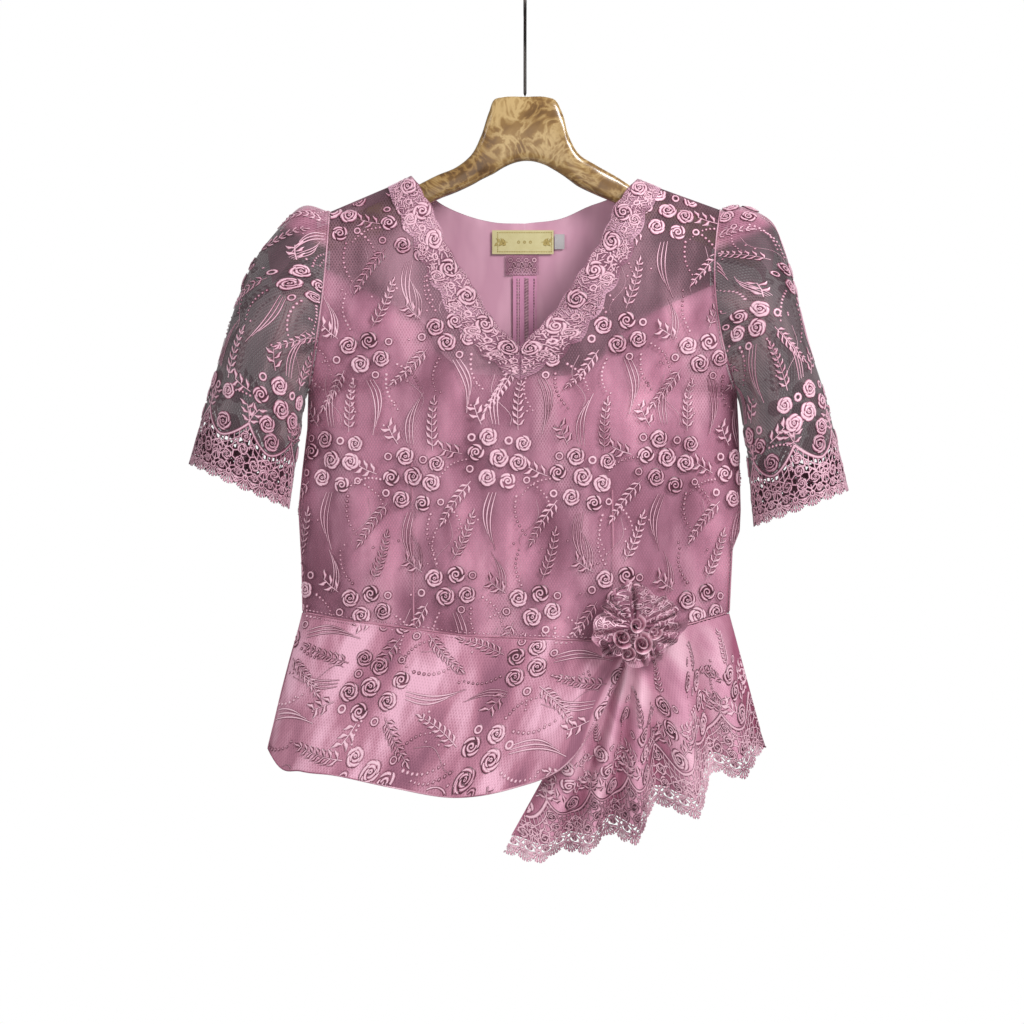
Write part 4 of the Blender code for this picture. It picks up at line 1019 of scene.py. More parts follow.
# %% Back
back_parts = []
for left, side in SIDES:
    tip = TIP_LEFT if left else TIP_RIGHT
    half = [p for p in BACK_NECK if (p[0] <= 0) == left and p[0] != 0] + [(0, -236)]
    neck = sorted(half, key=lambda p: abs(p[0]))
    neck[0] = (-0.05 if left else 0.05, -236)
    shoulder = line(neck[-1], tip)
    edge_waist = float(edge_x(left, BACK_WAIST))

    def back_top(t, neck=neck, shoulder=shoulder):
        """Neck edge for the first share of t, shoulder for the rest."""
        t = np.asarray(t, float)
        low = curve(neck, np.clip(t / NECK_SHARE, 0, 1))
        high = shoulder(np.clip((t - NECK_SHARE) / (1 - NECK_SHARE), 0, 1))
        return np.where((t <= NECK_SHARE)[..., None], low, high)

    flat = patch(
        back_top, line((neck[0][0], BACK_WAIST), (edge_waist, BACK_WAIST)),
        line(neck[0], (neck[0][0], BACK_WAIST)), side_line(left, tip[1], BACK_WAIST),
        np.linspace(0, 1, 40), np.linspace(0, 1, 60),
    )
    points = back_surface(flat[..., 0], flat[..., 1])
    sheet = Cloth(points, BACK_WAY)
    lining = Cloth(points, BACK_WAY, offset=-(CLOTH + LINING_GAP))
    net_piece = sheet.shell(f"back_net_{side}", LINED_NET)
    back_parts.append((side, net_piece, lining.shell(f"back_satin_{side}", INNER_SATIN, "satin")))
back_map = Cloth(level_grid(back_surface, np.linspace(-205, -628, 110), SHARES), BACK_WAY)

# %% Skirt pieces
OVERLAP = [
    (-222, -257, -763, 0), (-214, -247, -777, 1), (-190, -222, -783, 6), (-150, -185, -787, 4),
    (-110, -129, -799, -3), (-66, -69, -807, 6), (-20, -10, -798, -2), (28, 42, -773, 5),
    (66, 76, -724, 2), (98, 98, -678, 0),
]
DRAPE = [
    (204, 241, -765, 0), (188, 215, -793, 31), (168, 187, -786, 20), (148, 171, -831, 37),
    (130, 130, -819, 21), (118, 108, -857, 39), (112, 83, -848, 21), (107, 60, -866, 38),
    (103, 37, -864, 22), (98, 12, -875, 37), (94, -24, -866, 26),
]
BACK_HEM_FLUTE, BACK_HEM_DIP, OVERLAP_DEPTH, FOLD_POWER = 3.5, 8.0, 50.0, 0.75


def overlap_points(columns, rows):
    """Overlap: straight from waist to hem; its depth runs from the sewn line to the outer lane."""
    top = curve([(r[0], float(along_x(WAIST, r[0])), *r[1:]) for r in OVERLAP], np.linspace(0, 1, columns))
    v = np.linspace(0, 1, rows)[:, None]
    x = top[:, 0] + (top[:, 2] - top[:, 0]) * v
    high = along_x(WAIST, top[:, 0]) - SEAM
    z = high + (top[:, 3] - high) * v
    near = depth(x, z, OVERLAP_DEPTH * np.ones_like(x)) + top[:, 4] * v
    sewn = depth(x, z, at_height(FRONT_DEPTH, z))
    share = np.clip(np.maximum(v, np.clip((x - 20) / 60, 0, 1)), 0, 1) ** 0.8
    return np.stack((x, -(sewn + (near - sewn) * share), z), -1)


def drape_points(columns, v):
    """Drape: folds ease from one listed line to the next and open as a power of the way down."""
    fold = np.linspace(0, len(DRAPE) - 1, columns)
    table, known = np.array(DRAPE, float), np.arange(len(DRAPE))
    eased = np.minimum(fold.astype(int), len(DRAPE) - 2)
    part = fold - eased
    part = (part * part * (3 - 2 * part))[:, None]
    hem = table[eased, 1:] + (table[eased + 1, 1:] - table[eased, 1:]) * part
    top_x, hem[:, 0] = np.interp(fold, known, table[:, 0]), np.interp(fold, known, table[:, 1])
    v = np.asarray(v)[:, None]
    top_z = along_x(WAIST, top_x) - SEAM
    start = depth(top_x, top_z, at_height(FRONT_DEPTH, top_z))
    y = -(start + (hem[:, 2] - start) * v**FOLD_POWER)
    return np.stack((top_x + (hem[:, 0] - top_x) * v, y, top_z + (hem[:, 1] - top_z) * v), -1)


def skirt_back():
    """Back of the skirt: level rows, with flutes that deepen toward the hem."""
    u, v = SHARES, np.linspace(0, 1, 24)[:, None]
    z = BACK_WAIST - SEAM + (BACK_HEM - BACK_WAIST + SEAM) * v - BACK_HEM_DIP * v * np.abs(u) ** 3
    x = edge_x(False, z) * (np.abs(u) + u) / 2 + edge_x(True, z) * (np.abs(u) - u) / 2
    points = back_surface(x, z)
    points[..., 1] += BACK_HEM_FLUTE * v * (1 - np.abs(u) ** 4) * np.cos(3 * math.pi * u)
    return points


overlap = Cloth(overlap_points(120, 46), FRONT_WAY, zero=0)
overlap_grid, overlap_limits = by_length(overlap.p, 46)
overlap_map = Cloth(overlap_grid, FRONT_WAY, zero=0, limits=overlap_limits)
drape_map = hem_cloth(drape_points(201, np.linspace(0, 1, 60)), FRONT_WAY, 70, zero=0)
drape = Cloth(cut_above(drape_map, 50, lambda f: drape_map.g[-1] - FAN_TOP + 0 * f), FRONT_WAY, zero=0)
skirt = Cloth(skirt_back(), BACK_WAY)
overlap_net = overlap.shell("peplum_net_overlap", LINED_NET)
drape_net = drape.shell("peplum_net_drape", DRAPE_NET)
arch_start = drape_map.g[-1] - BORDER + arch_drop(drape.f)
over = np.clip((arch_start - drape.g[:, None]) / 4 + 0.5, 0, 1)
# y marks the hollows between the drape's folds, where the net takes painted shade
mark_ground(drape_net, over, hollow(drape, 14, 14.0))
skirt_net = skirt.shell("peplum_net_back", LINED_NET)

reaches = {"front": net_front, "overlap": overlap_map, "drape": drape_map, "skirt": skirt}
print("left, right and length, mm:", {key: [round(float(v)) for v in m.reach] for key, m in reaches.items()})

# %% [markdown]
# ## Sleeves
# A sleeve is a row of ellipses from the armhole to the hem, split in a front and a back half. Its top
# is puffed over a satin head, and its last quarter is the open lace cuff.

# %% Sleeves
SLEEVE_RINGS = {
    "left": [
        (-195, -227, -216, -403, 40), (-222, -221, -219, -411, 46), (-247, -245, -221, -420, 50),
        (-271, -277, -223, -433, 52), (-289, -320, -225, -447, 52), (-303, -367, -228, -465, 52),
        (-317, -415, -231, -485, 52), (-334, -474, -236, -521, 54),
    ],
    "right": [
        (195, -225, 211, -407, 40), (218, -222, 214, -415, 46), (245, -236, 216, -425, 50),
        (259, -267, 218, -437, 52), (272, -315, 220, -451, 52), (286, -367, 223, -470, 52),
        (301, -415, 225, -493, 52), (321, -498, 229, -538, 54),
    ],
}
HEAD_GAP = 3.3  # from the sleeve's net to the satin head under it


def sleeve_points(side, rows, angles, facing):
    """Half sleeve: middle + half width times cosine, depth times sine; facing is -1 for the front."""
    table = np.array(SLEEVE_RINGS[side], float)
    arm = ARM_LEFT if side == "left" else ARM_RIGHT
    rows = np.asarray(rows, float)
    k = np.minimum(rows.astype(int), len(table) - 2)
    ring = blend(table, np.gradient(table, axis=0), k, (rows - k)[:, None])
    cosine, sine = np.cos(angles)[None, :], np.sin(angles)[None, :]
    bow = arm["bow"] * np.clip(1 - rows[:, None] * 5 / (len(table) - 1), 0, 1)
    x = (ring[:, :1] + ring[:, 2:3]) / 2 + (ring[:, :1] - ring[:, 2:3]) / 2 * cosine + bow * sine**2
    z = (ring[:, 1:2] + ring[:, 3:4]) / 2 + (ring[:, 1:2] - ring[:, 3:4]) / 2 * cosine
    return np.stack((x, facing * ring[:, 4:5] * sine, z), -1)


def outward(points):
    """Direction away from the sleeve's axis."""
    return points - (points[:, :1] + points[:, -1:]) / 2


HEAD_FOOT, HEAD_SLOPE = -266.0, 0.46  # lower edge of the satin head, as seen through the front net
sleeves, sleeve_maps = {}, {}
for left, side in SIDES:
    for face, way in (("front", -1), ("back", 1)):
        key = f"sleeve_{side}_{face}"
        points = sleeve_points(side, np.linspace(0, 7.1, 72), np.linspace(0, math.pi, 61), way)
        points[..., 1] = way * np.maximum(way * points[..., 1], SEAM / 2)
        sleeve_maps[key] = whole = hem_cloth(points, outward(points[:72]), 72)
        points = cut_above(whole, 60, lambda f, whole=whole: whole.g[-1] - BORDER + arch_drop(f))
        sleeves[key] = Cloth(points, outward(points)).shell(f"{key}_net", SHEER_NET)
        seen = spots(sleeves[key])
        cap = HEAD_FOOT + HEAD_SLOPE * (np.abs(seen[:, 0]) - 200)
        mark_ground(sleeves[key], np.clip((seen[:, 2] - cap) / 9, 0, 1) * (seen[:, 1] < 0), 0)
heads = {}
for left, side in SIDES:
    points = sleeve_points(side, np.linspace(0.5, 2.5, 16), np.radians(np.linspace(-60, 60, 33)), -1)
    away = points - np.stack((points[..., 0], 0 * points[..., 1], points[..., 2] - 60), -1)
    head = Cloth(points, away, offset=-HEAD_GAP)
    heads[side] = head.shell(f"sleeve_head_{side}_satin", SATIN, "satin")

print("sleeve lengths, mm:", {key: round(float(cloth.g[-1])) for key, cloth in sleeve_maps.items()})

# %% [markdown]
# ## Embroidery on the panels
# The repeat is laid on each map, then cut where the panel ends: at the neck trim, the waist, the armholes
# and the hems. The skirt pieces were cut across the lace, so their flowers lie on their side.

# %% Cut lines of the embroidery
TRIM_LEFT = [(-139, -204.5), (-120, -240), (-102, -279), (-82, -316), (-52, -362), (CENTRE_X, -400)]
TRIM_RIGHT = [(138, -205.5), (118, -236), (104, -270), (82, -312), (50, -360), (CENTRE_X, -400)]


def trim_edge(left, z):
    """x of the trim's outer edge at height z."""
    return at_height([(z_, x_) for x_, z_ in (TRIM_LEFT if left else TRIM_RIGHT)], z)


def on_front(p):
    """Keeps points of the front outside the neck trim, above the waist and below the shoulder."""
    x, z = p[..., 0], p[..., 2]
    clear = (z < -399) | (x < trim_edge(True, z) + 3) | (x > trim_edge(False, z) - 3)
    return clear & (z > along_x(WAIST, x) + 1) & (z < shoulder_z(x) - 2)


def on_back(p):
    """Keeps points of the back below the neck and shoulder and away from the zip."""
    x, z = p[..., 0], p[..., 2]
    below = (z < along_x(BACK_NECK, x) - 3) & (z < shoulder_z(x) - 2)
    return below & (z > BACK_WAIST + 1) & (np.abs(x) > 2.5)


def height_to_g(cloth, z):
    """g of the given height at the middle of a level map."""
    return float(np.interp(-z, -cloth.p[:, cloth.p.shape[1] // 2, 2], cloth.g))


# %% Bodice, skirt and sleeves
# Where the first bunch lies on each map; the front's is the middle of its largest bunch
front_start = (-24, height_to_g(front_map, -474))
front_flowers = stitched("front_embroidery", THREAD, stamp(front_map, tile(front_start), keep=on_front))
stitched("back_embroidery", THREAD, stamp(back_map, tile((20, 60)), keep=on_back))
overlap_flowers = stitched("overlap_embroidery", THREAD, stamp(overlap_map, tile((-62, 95), crosswise=True)))
skirt_flowers = stitched(
    "skirt_back_embroidery", THREAD, stamp(Cloth(skirt.p, BACK_WAY), tile((-60, 40), crosswise=True))
)


def above_border(cloth, placed):
    """Leaves out what would lie on the lace border."""
    hem = cloth.g[-1] - BORDER
    return [row for row in placed if row[2] < hem - 6 + arch_drop(row[1]) - (14 if row[0] != "dot" else 0)]


def climbing(reach, foot):
    """Twigs that climb from each arch of the border; every second one has a rose and a ring more."""
    placed = []
    for i in steps_across(reach, ARCH_WIDE):
        f, way = (i + 0.5) * ARCH_WIDE, 1 - 2 * (i % 2)
        placed += [
            ("sprig", f - 7, foot + 2, 38, 1.1, 1), ("sprig", f + 7, foot + 2, -38, 1.1, 0),
            ("coil", f + 2 * way, foot - 18, 20, 9.4, 0), ("rose", f + 5 * way, foot - 38, 70 * i, 9.4, 0),
            ("sprig", f - 8 * way, foot - 20, 62 * way, 0.95, 0), ("beads", f + 27, foot - 12, 4, 0.8, 0),
            ("sprig", f + 14 * way, foot - 36, -70 * way, 0.9, 1), ("dot", f + 24, foot - 52, 0, 1, 0),
            ("fern", f + 5 * way, foot - 48, 6 * way, 0.75, i % 2),
            ("ring", f - 10 * way, foot - 42, 0, 3.6, 0),
        ]
        if i % 2:
            placed += [("rose", f + 18, foot - 62, 10, 8.6, 0), ("ring", f + 10, foot - 76, 0, 3.8, 0)]
    return placed


hem_g = drape_map.g[-1]
below_waist = lambda p: p[..., 2] < along_x(WAIST, p[..., 0]) - 2
drape_flowers = stitched(
    "drape_embroidery", THREAD,
    stamp(drape_map, climbing(drape_map.reach, hem_g - BORDER), keep=below_waist),
)
drape_border = stitched(
    "drape_border", CORD_THREAD, stamp(drape_map, border(hem_g, drape_map.reach), lift=0.25)
)

sleeve_flowers, sleeve_borders = {}, {}
for key, cloth in sleeve_maps.items():
    hem = cloth.g[-1]
    start = (26 if "left" in key else -26, hem - BORDER - 26)
    placed = above_border(cloth, tile(start))
    sleeve_flowers[key] = stitched(f"{key}_embroidery", THREAD, stamp(cloth, placed))
    look = SHADED_CUFF_THREAD if "back" in key else CORD_THREAD
    rows = border(hem, cloth.reach)
    if "back" in key:  # a second set of bars, so that little light comes through the cuff
        bars = [row for row in rows if row[0] == "bar"]
        rows += [("bar", f + 3.1, g + 2.7, turn + 45, 1.5 * size, 0) for kind, f, g, turn, size, flip in bars]
    sleeve_borders[key] = stitched(f"{key}_border", look, stamp(cloth, rows, lift=0.0))

sewn = [front_flowers, drape_flowers, drape_border, *sleeve_flowers.values(), *sleeve_borders.values()]
print("faces stitched:", {piece.name: len(piece.data.polygons) for piece in sewn})

# %% [markdown]
# ## Neck trim
# The trim is lace cut along its flowers: a row of roses beside the neck edge, smaller ones and rings
# behind, little roses along the neck edge itself, and net with bars between them.


# %% Neck trim
NECK_ROSES, TRIM_WAVE_IN, TRIM_WAVE_OUT = 8, 2.5, 5.5


def trim_points(left):
    """Trim between the neck edge and its outer line, just outside the front."""
    t = np.linspace(0, 1, 120)
    inner = curve(NECK_LEFT if left else NECK_RIGHT, t)
    outer = curve(TRIM_LEFT if left else TRIM_RIGHT, t)
    reach = unit(outer - inner)
    wave = np.abs(np.sin(NECK_ROSES * math.pi * t)) * np.clip(8 * (1 - t), 0, 1) * np.clip(8 * t, 0, 1)
    inner = inner - reach * (TRIM_WAVE_IN * wave)[:, None]
    outer = outer + reach * (TRIM_WAVE_OUT * wave - TRIM_WAVE_IN)[:, None]
    v = np.linspace(0, 1.0, 12)[:, None, None]
    flat = inner[None] * (1 - v) + outer[None] * v
    flat[..., 1] = np.minimum(flat[..., 1], shoulder_z(flat[..., 0]))
    side = -1 if left else 1
    flat[..., 0] = CENTRE_X + side * np.maximum(side * (flat[..., 0] - CENTRE_X), SEAM / 2)
    return front_surface(flat[..., 0], flat[..., 1])


trims = {}
for left, side in SIDES:
    cloth = Cloth(trim_points(left), FRONT_WAY, zero=0, offset=1.4)
    ground = cloth.shell(f"neck_trim_{side}_net", TRIM_NET)
    long, wide = cloth.reach[1], cloth.reach[2]
    rows = []
    pitch = long / NECK_ROSES
    for k, f in enumerate((np.arange(NECK_ROSES) + 0.5) * pitch):
        rows.append(("coil" if k % 2 else "rose", f, 11.5, 50 * k, 11.0, 0))
        rows.append(("rose" if k % 2 else "coil", f + 3, 26, 70 * k, 7.4 if k % 2 else 6.2, 0))
        rows.append(("ring", f + pitch / 2, 20, 0, 4.4, 0))
        rows += [("ring", f + 12, 8, 0, 3.0, 0), ("sprig", f + 3, 22, 200, 0.7, k % 2)]
        rows += [("dot", f + 5, 27, 0, 1, 0), ("dot", f - 6, 25, 0, 1, 0)]
    rows += [("small_rose", f, 2.6, 40 * f, 3.0, 0) for f in np.arange(3, long - 2, 6.4)]
    rows += [("sprig", f, 24, 168 + 24 * (int(f) % 3), 0.62, 0) for f in np.arange(8, long - 4, 12.0)]
    rows += [
        ("bar", f, g, rng.uniform(0, 180), 1.6, 0)
        for f in np.arange(2, long - 2, 4.5) for g in (7, 12, 18, 23, 27)
    ]
    trims[side] = (ground, stitched(f"neck_trim_{side}_roses", CORD_THREAD, stamp(cloth, rows, lift=0.2)))

print("faces of the neck trim:", {side: len(roses.data.polygons) for side, (ground, roses) in trims.items()})

# %% [markdown]
# ## Seams
# The armholes are corded, the waist is topstitched on both sides of its seam, and the hems are turned up
# and stitched. The darts, the side seams and the lips of the zip are fine cords in a darker thread.

# %% Stitches and cords
def stitches(name, route, look, out, long=3.0, gap=1.6, wide=1.2, lift=0.5):
    """Row of stitches along a line of points: each is a short raised band, lifted along out."""
    route, out = np.asarray(route, float), np.asarray(out, float)
    run = run_of(route)
    starts = np.arange(0, run[-1] - long, long + gap)
    at = lambda s: np.stack([np.interp(s, run, route[:, k]) for k in range(3)], -1)
    a, b = at(starts), at(starts + long)
    side = np.cross(b - a, out)
    side *= wide / 2 / np.maximum(np.linalg.norm(side, axis=-1, keepdims=True), 1e-9)
    low, high = out * lift * 0.4, out * lift * 1.8
    ring = [end + step + low for end in (a, b) for step in (-side, 0 * side, side)]
    points = np.stack((*ring, (a + b) / 2 + high), 1)
    face = np.array([(0, 1, 6), (1, 2, 6), (2, 5, 6), (5, 4, 6), (4, 3, 6), (3, 0, 6)])
    faces = (face[None] + 7 * np.arange(len(starts))[:, None, None]).reshape(-1, 3)
    # feet marked 0.3, tops 1: painted shadow at each stitch's foot and a painted highlight on its top
    marks = np.tile(np.array([(0.3, 0.5)] * 6 + [(1.0, 0.5)]), (len(starts), 1))
    return make(name, points, faces, look, marks)


def piping(name, route, radius, look, sides=8):
    """Corded seam along a line of points."""
    route = np.asarray(route, float)
    heading = unit(np.gradient(route, axis=0))
    side = unit(np.cross(heading, (0.31, 0.2, 0.93)))  # any direction that no seam follows
    up = np.cross(side, heading)
    angle = np.linspace(0, 2 * math.pi, sides, endpoint=False)[None, :, None]
    points = route[:, None] + radius * (np.cos(angle) * side[:, None] + np.sin(angle) * up[:, None])
    marks = np.full((points.shape[0] * sides, 2), 0.6)
    return make(name, points, grid_faces(len(route), sides, round_across=True), look, marks)


# %% Seams
seams = {key: [] for key in ("front", "back_left", "back_right", "overlap", "drape", "skirt")}


def cord(where, name, route, radius=0.8, look=SEAM_THREAD):
    """Corded seam, kept in the named cloth's list."""
    seams[where].append(piping(name, route, radius, look))


def topstitch(where, name, route, out=FRONT_WAY):
    """Row of stitches, kept in the named cloth's list."""
    seams[where].append(stitches(name, route, THREAD, out))


for left, side in SIDES:
    arm = ARM_LEFT if left else ARM_RIGHT
    turn = np.linspace(0, math.pi, 60)
    z = arm["z"] + arm["az"] * np.cos(turn)
    for face, way, where in (("front", -1, "front"), ("back", 1, f"back_{side}")):
        route = np.stack((edge_x(left, z), way * (arm["depth"] * np.sin(turn) + 0.4), z), -1)
        cord(where, f"armhole_{side}_{face}", route, 0.9, CORD_THREAD)
x = np.linspace(-219, 201, 160)
for name, drop in (("upper", 3.0), ("lower", -3.5)):
    keep = (x < 70) | (name == "upper")  # the lower row ends where the drape hides it
    topstitch("front", f"waist_stitching_{name}", front_surface(x, along_x(WAIST, x) + drop)[keep])
cord("front", "waist_seam", front_surface(x, along_x(WAIST, x)) + (0, -0.1, 0), 0.7)
for name, top, foot in (("left", (-112, -470), (-110, -640)), ("right", (86, -505), (88, -648))):
    t = np.linspace(0, 1, 40)
    dart = front_surface(top[0] + (foot[0] - top[0]) * t, top[1] + (foot[1] - top[1]) * t)
    cord("front", f"dart_{name}", dart + (0, -0.2, 0))
HEM_TURN = 7.5  # the hem's stitches lie this far above its edge
fold = np.stack([
    [np.interp(overlap_limits[1][c] - HEM_TURN, overlap_map.g, overlap_map.p[:, c, k]) for k in range(3)]
    for c in range(overlap_map.p.shape[1]) if overlap_limits[1][c] > 12
])
topstitch("overlap", "overlap_hem_stitching", fold)
cord("overlap", "overlap_hem_edge", overlap.p[-1], look=CORD_THREAD)
topstitch("skirt", "skirt_back_hem_stitching", skirt.p[-2], BACK_WAY)
cord("skirt", "skirt_back_hem_edge", skirt.p[-1], look=CORD_THREAD)
for left, side in SIDES:
    z = np.linspace(-406, -626, 70)
    cord("front", f"side_seam_{side}", np.stack((edge_x(left, z), 0 * z, z), -1))
    edge, other = (overlap.p[:, 0], skirt.p[:, 0]) if left else (drape.p[:, -1], skirt.p[:, -1])
    z = np.linspace(max(edge[0, 2], other[0, 2]), max(edge[-1, 2], other[-1, 2]), 50)
    one, two = (
        np.stack([np.interp(-z, -run[:, 2], run[:, k]) for k in range(2)] + [z], -1) for run in (edge, other)
    )
    cord("overlap" if left else "drape", f"peplum_side_seam_{side}", (one + two) / 2)
z = np.linspace(-270, BACK_WAIST, 90)
for x, side in ((-1.3, "left"), (1.3, "right")):
    cord(f"back_{side}", f"zip_lip_{side}", back_surface(0 * z + x, z) + (0, 0.2, 0), 0.9)
x = np.linspace(-214, 197, 120)
cord("skirt", "waist_seam_back", back_surface(x, np.full_like(x, BACK_WAIST)) + (0, 0.1, 0), 0.7)

print("seams:", {where: len(made) for where, made in seams.items()})

# %% [markdown]
# ## Corsage
# Three gathered petals of border lace round a heart. Each petal is a fan that waves more toward its rim,
# with scallops and roses like the border's own. The heart is five coiled roses of ribbon on a stalk.

# %% Corsage
CORSAGE_X, CORSAGE_Z, CORSAGE_STEM = 107.0, -641.0, 4.4
# Name, direction and spread in degrees, length, lift off the cloth, waves
PETALS = [("upper", 35, 170, 47, 10.0, 9), ("left", 172, 150, 41, 18.0, 7), ("lower", 262, 160, 35, 25.5, 7)]
PETAL_CUP, PETAL_WAVE, PETAL_PITCH = 6.0, 6.0, 15.0
corsage_depth = float(depth(np.array(CORSAGE_X), np.array(CORSAGE_Z), at_height(FRONT_DEPTH, CORSAGE_Z)))
petals = {}
for name, direction, spread, length, lift, waves in PETALS:
    turn = np.linspace(-0.5, 0.5, 16 * waves + 1)
    r = np.linspace(0, 1, 24)[:, None]
    angle = np.radians(direction + spread * turn)[None, :]
    angle = angle + 0.14 * r * np.sin(11 * turn + lift) + 0.05 * r * np.sin(31 * turn)
    rim = 0.78 + 0.22 * np.cos(math.pi * turn) + 0.04 * np.cos(2 * math.pi * waves * turn)
    rim = length * (rim + 0.09 * np.sin(9 * turn + lift) + 0.05 * np.sin(23 * turn))
    far = CORSAGE_STEM + (rim[None, :] - CORSAGE_STEM) * r
    wave = (np.sin(2 * math.pi * waves * turn) * (0.72 + 0.28 * np.sin(13 * turn + lift)))[None, :]
    up = corsage_depth + lift + PETAL_CUP * r**1.5 + PETAL_WAVE * r * wave
    points = np.stack((CORSAGE_X + far * np.cos(angle), -up, CORSAGE_Z + far * np.sin(angle)), -1)
    ruffle = Cloth(points, FRONT_WAY).shell(f"corsage_{name}_net", PETAL_NET)
    # x grows from the heart to the rim, so the petal is painted lighter toward its rim; y is painted shade
    # that rises and falls with the waves and eases toward the rim
    mark_ground(ruffle, r + 0 * wave, np.clip(0.4 + 0.5 * wave, 0, 1) * (0.9 - 0.3 * r))
    grid, limits = by_length(points, 30)
    cloth = Cloth(grid, FRONT_WAY, limits=limits)
    hem = float(np.median(limits[1]))
    first, last = cloth.reach[:2]
    rows = [("fan", f, hem - 10.5, 0, 0.92, 0) for f in np.arange(first + 6, last - 4, PETAL_PITCH)]
    rows += [("small_rose", f, hem - 22, 3 * f, 6.2, 0) for f in np.arange(first + 12, last - 8, PETAL_PITCH)]
    rows += [
        ("bar", f, g, rng.uniform(-50, 50), 2.0, 0)
        for f in np.arange(first, last, 7.0) for g in np.arange(hem - 28, hem - 8, 6.0)
    ]
    petals[name] = (ruffle, stitched(f"corsage_{name}_lace", PETAL_THREAD, stamp(cloth, rows, lift=0.25)))

# %% Heart of the corsage
# Across and down from the corsage's middle, radius, turns
HEART = [(-12, -9, 10.5, 1.9), (7, -15, 11.5, 2.1), (2, 4, 9.5, 1.9), (19, -4, 8.0, 1.6), (-7, -25, 8.0, 1.6)]
HEART_RISE, RIBBON_WIDE, STALK_RADIUS, STALK_HIGH = 29.0, 12.0, 3.6, 30.0
seat = corsage_depth + 0.9
t, rise = np.linspace(0, 1, 90)[None, :], np.linspace(0, 1, 7)[:, None]
heart = []
for k, (x, z, size, turns) in enumerate(HEART):
    swing = 2 * math.pi * turns * t + k
    reach = (1.2 + (size - 1.2) * t) * (0.66 + 0.4 * rise) + 0.5 * rise * np.sin(2.3 * swing + k)
    up = seat + HEART_RISE + RIBBON_WIDE * rise * (1.04 - 0.45 * t)
    spot = np.stack((CORSAGE_X + x + reach * np.cos(swing), -up, CORSAGE_Z + z + reach * np.sin(swing)), -1)
    # the ribbon is marked from 0.3 at its foot to 1 at its top edge: painted shade deep in the coil, painted
    # highlight on its rim
    heart.append((spot, np.stack((0.3 + 0.7 * rise + 0 * t, 0.2 * k + 0 * rise * t), -1)))
angle, flat = np.linspace(0, 2 * math.pi, 17)[None, :], 0 * rise
away, along = STALK_RADIUS * np.cos(angle) + flat, STALK_RADIUS * np.sin(angle) + flat
stalk = np.stack((CORSAGE_X + away, -(seat + STALK_HIGH * rise + 0 * angle), CORSAGE_Z + along), -1)
heart.append((stalk, np.full((7, 17, 2), 0.3)))
points, faces = combine([(spot.reshape(-1, 3), grid_faces(*spot.shape[:2])) for spot, mark in heart])
marks = np.concatenate([mark.reshape(-1, 2) for spot, mark in heart])
knot_heart = make("corsage_heart", points, faces, PETAL_THREAD, marks)

print("corsage stands off the body, mm:", round(corsage_depth + PETALS[-1][4]), "heart's faces:", len(faces))

# %% [markdown]
# ## Hanger and hook
# The hanger is moulded acrylic, amber with paler veins, and its edges are rounded. It is lofted through
# measured sections. The hook is a bent steel wire with a round section.


# %% Acrylic and steel
def acrylic():
    """Marbled moulding: two drifting noises give cloud and veins, under a clear glossy skin."""
    made, tree, surface = material(
        "marbled_amber_acrylic", "#B8935A", 0.28, Coat_Weight=0.7, Coat_Roughness=0.12
    )
    coords = add(tree, "TexCoord").outputs["Object"]
    drift = add(tree, "TexNoise", {"Vector": coords}, {"Scale": 9.0, "Detail": 4.0, "Distortion": 1.6})
    vein = add(tree, "TexNoise", {"Vector": coords}, {"Scale": 26.0, "Detail": 6.0, "Distortion": 2.4})
    ridge = add(tree, "Math", {0: vein.outputs["Fac"]}, {1: 0.5}, operation="SUBTRACT")
    ridge = add(tree, "Math", {0: ridge.outputs[0]}, operation="ABSOLUTE")
    fall = {"From Max": 0.09, "To Min": 0.3, "To Max": 0.0}
    ridge = add(tree, "MapRange", {"Value": ridge.outputs[0]}, fall)
    mixed = add(tree, "Math", {0: drift.outputs["Fac"], 1: ridge.outputs[0]}, operation="ADD")
    stops = (0.3, "#5A3E20"), (0.45, "#7C5B33"), (0.6, "#967443"), (0.85, "#C2A471")
    tree.links.new(ramp(tree, mixed.outputs[0], *stops), surface.inputs["Base Color"])
    return made


def steel(name, colour, roughness):
    """Drawn or pressed metal: bright, with a faint change of roughness."""
    made, tree, surface = material(name, colour, roughness, Metallic=1.0)
    coords = add(tree, "TexCoord").outputs["Object"]
    rough = add(tree, "TexNoise", {"Vector": coords}, {"Scale": 180.0, "Detail": 3.0})
    spread = {"To Min": roughness - 0.08, "To Max": roughness + 0.12}
    rough = add(tree, "MapRange", {"Value": rough.outputs["Fac"]}, spread)
    tree.links.new(rough.outputs[0], surface.inputs["Roughness"])
    return made


ACRYLIC = acrylic()
WIRE_STEEL = steel("drawn_steel_wire", "#4A4644", 0.34)
ZIP_METAL = steel("lacquered_zip_metal", "#B97F97", 0.42)

# %% Hanger and hook
HANGER = [
    (-243, -266, -273, 3.5), (-238, -261, -277, 6), (-225, -253, -276, 8), (-205, -242, -269, 8),
    (-185, -234, -263, 8), (-155, -221, -254, 7.5), (-125, -208, -238, 7), (-107, -200, -226, 7),
    (-88, -190.5, -215, 8), (-68, -182, -207, 9), (-53, -169, -200, 9), (-44, -151, -195, 9),
    (-36, -127, -191, 9), (-30, -114, -188, 9), (-22, -112, -183, 9), (0, -111.6, -176, 9),
    (22, -112, -181, 9), (29, -114, -185, 9), (37, -127, -190, 9), (44, -151, -195, 9),
    (54, -169, -202, 9), (71, -180, -210, 9), (92, -192, -219, 7), (110, -203.5, -228, 6.5),
    (135, -215, -243, 7), (175, -232, -258, 7.5), (205, -247, -272, 8), (225, -259, -281, 8),
    (236, -268, -282, 6), (241, -273, -279, 3.5),
]
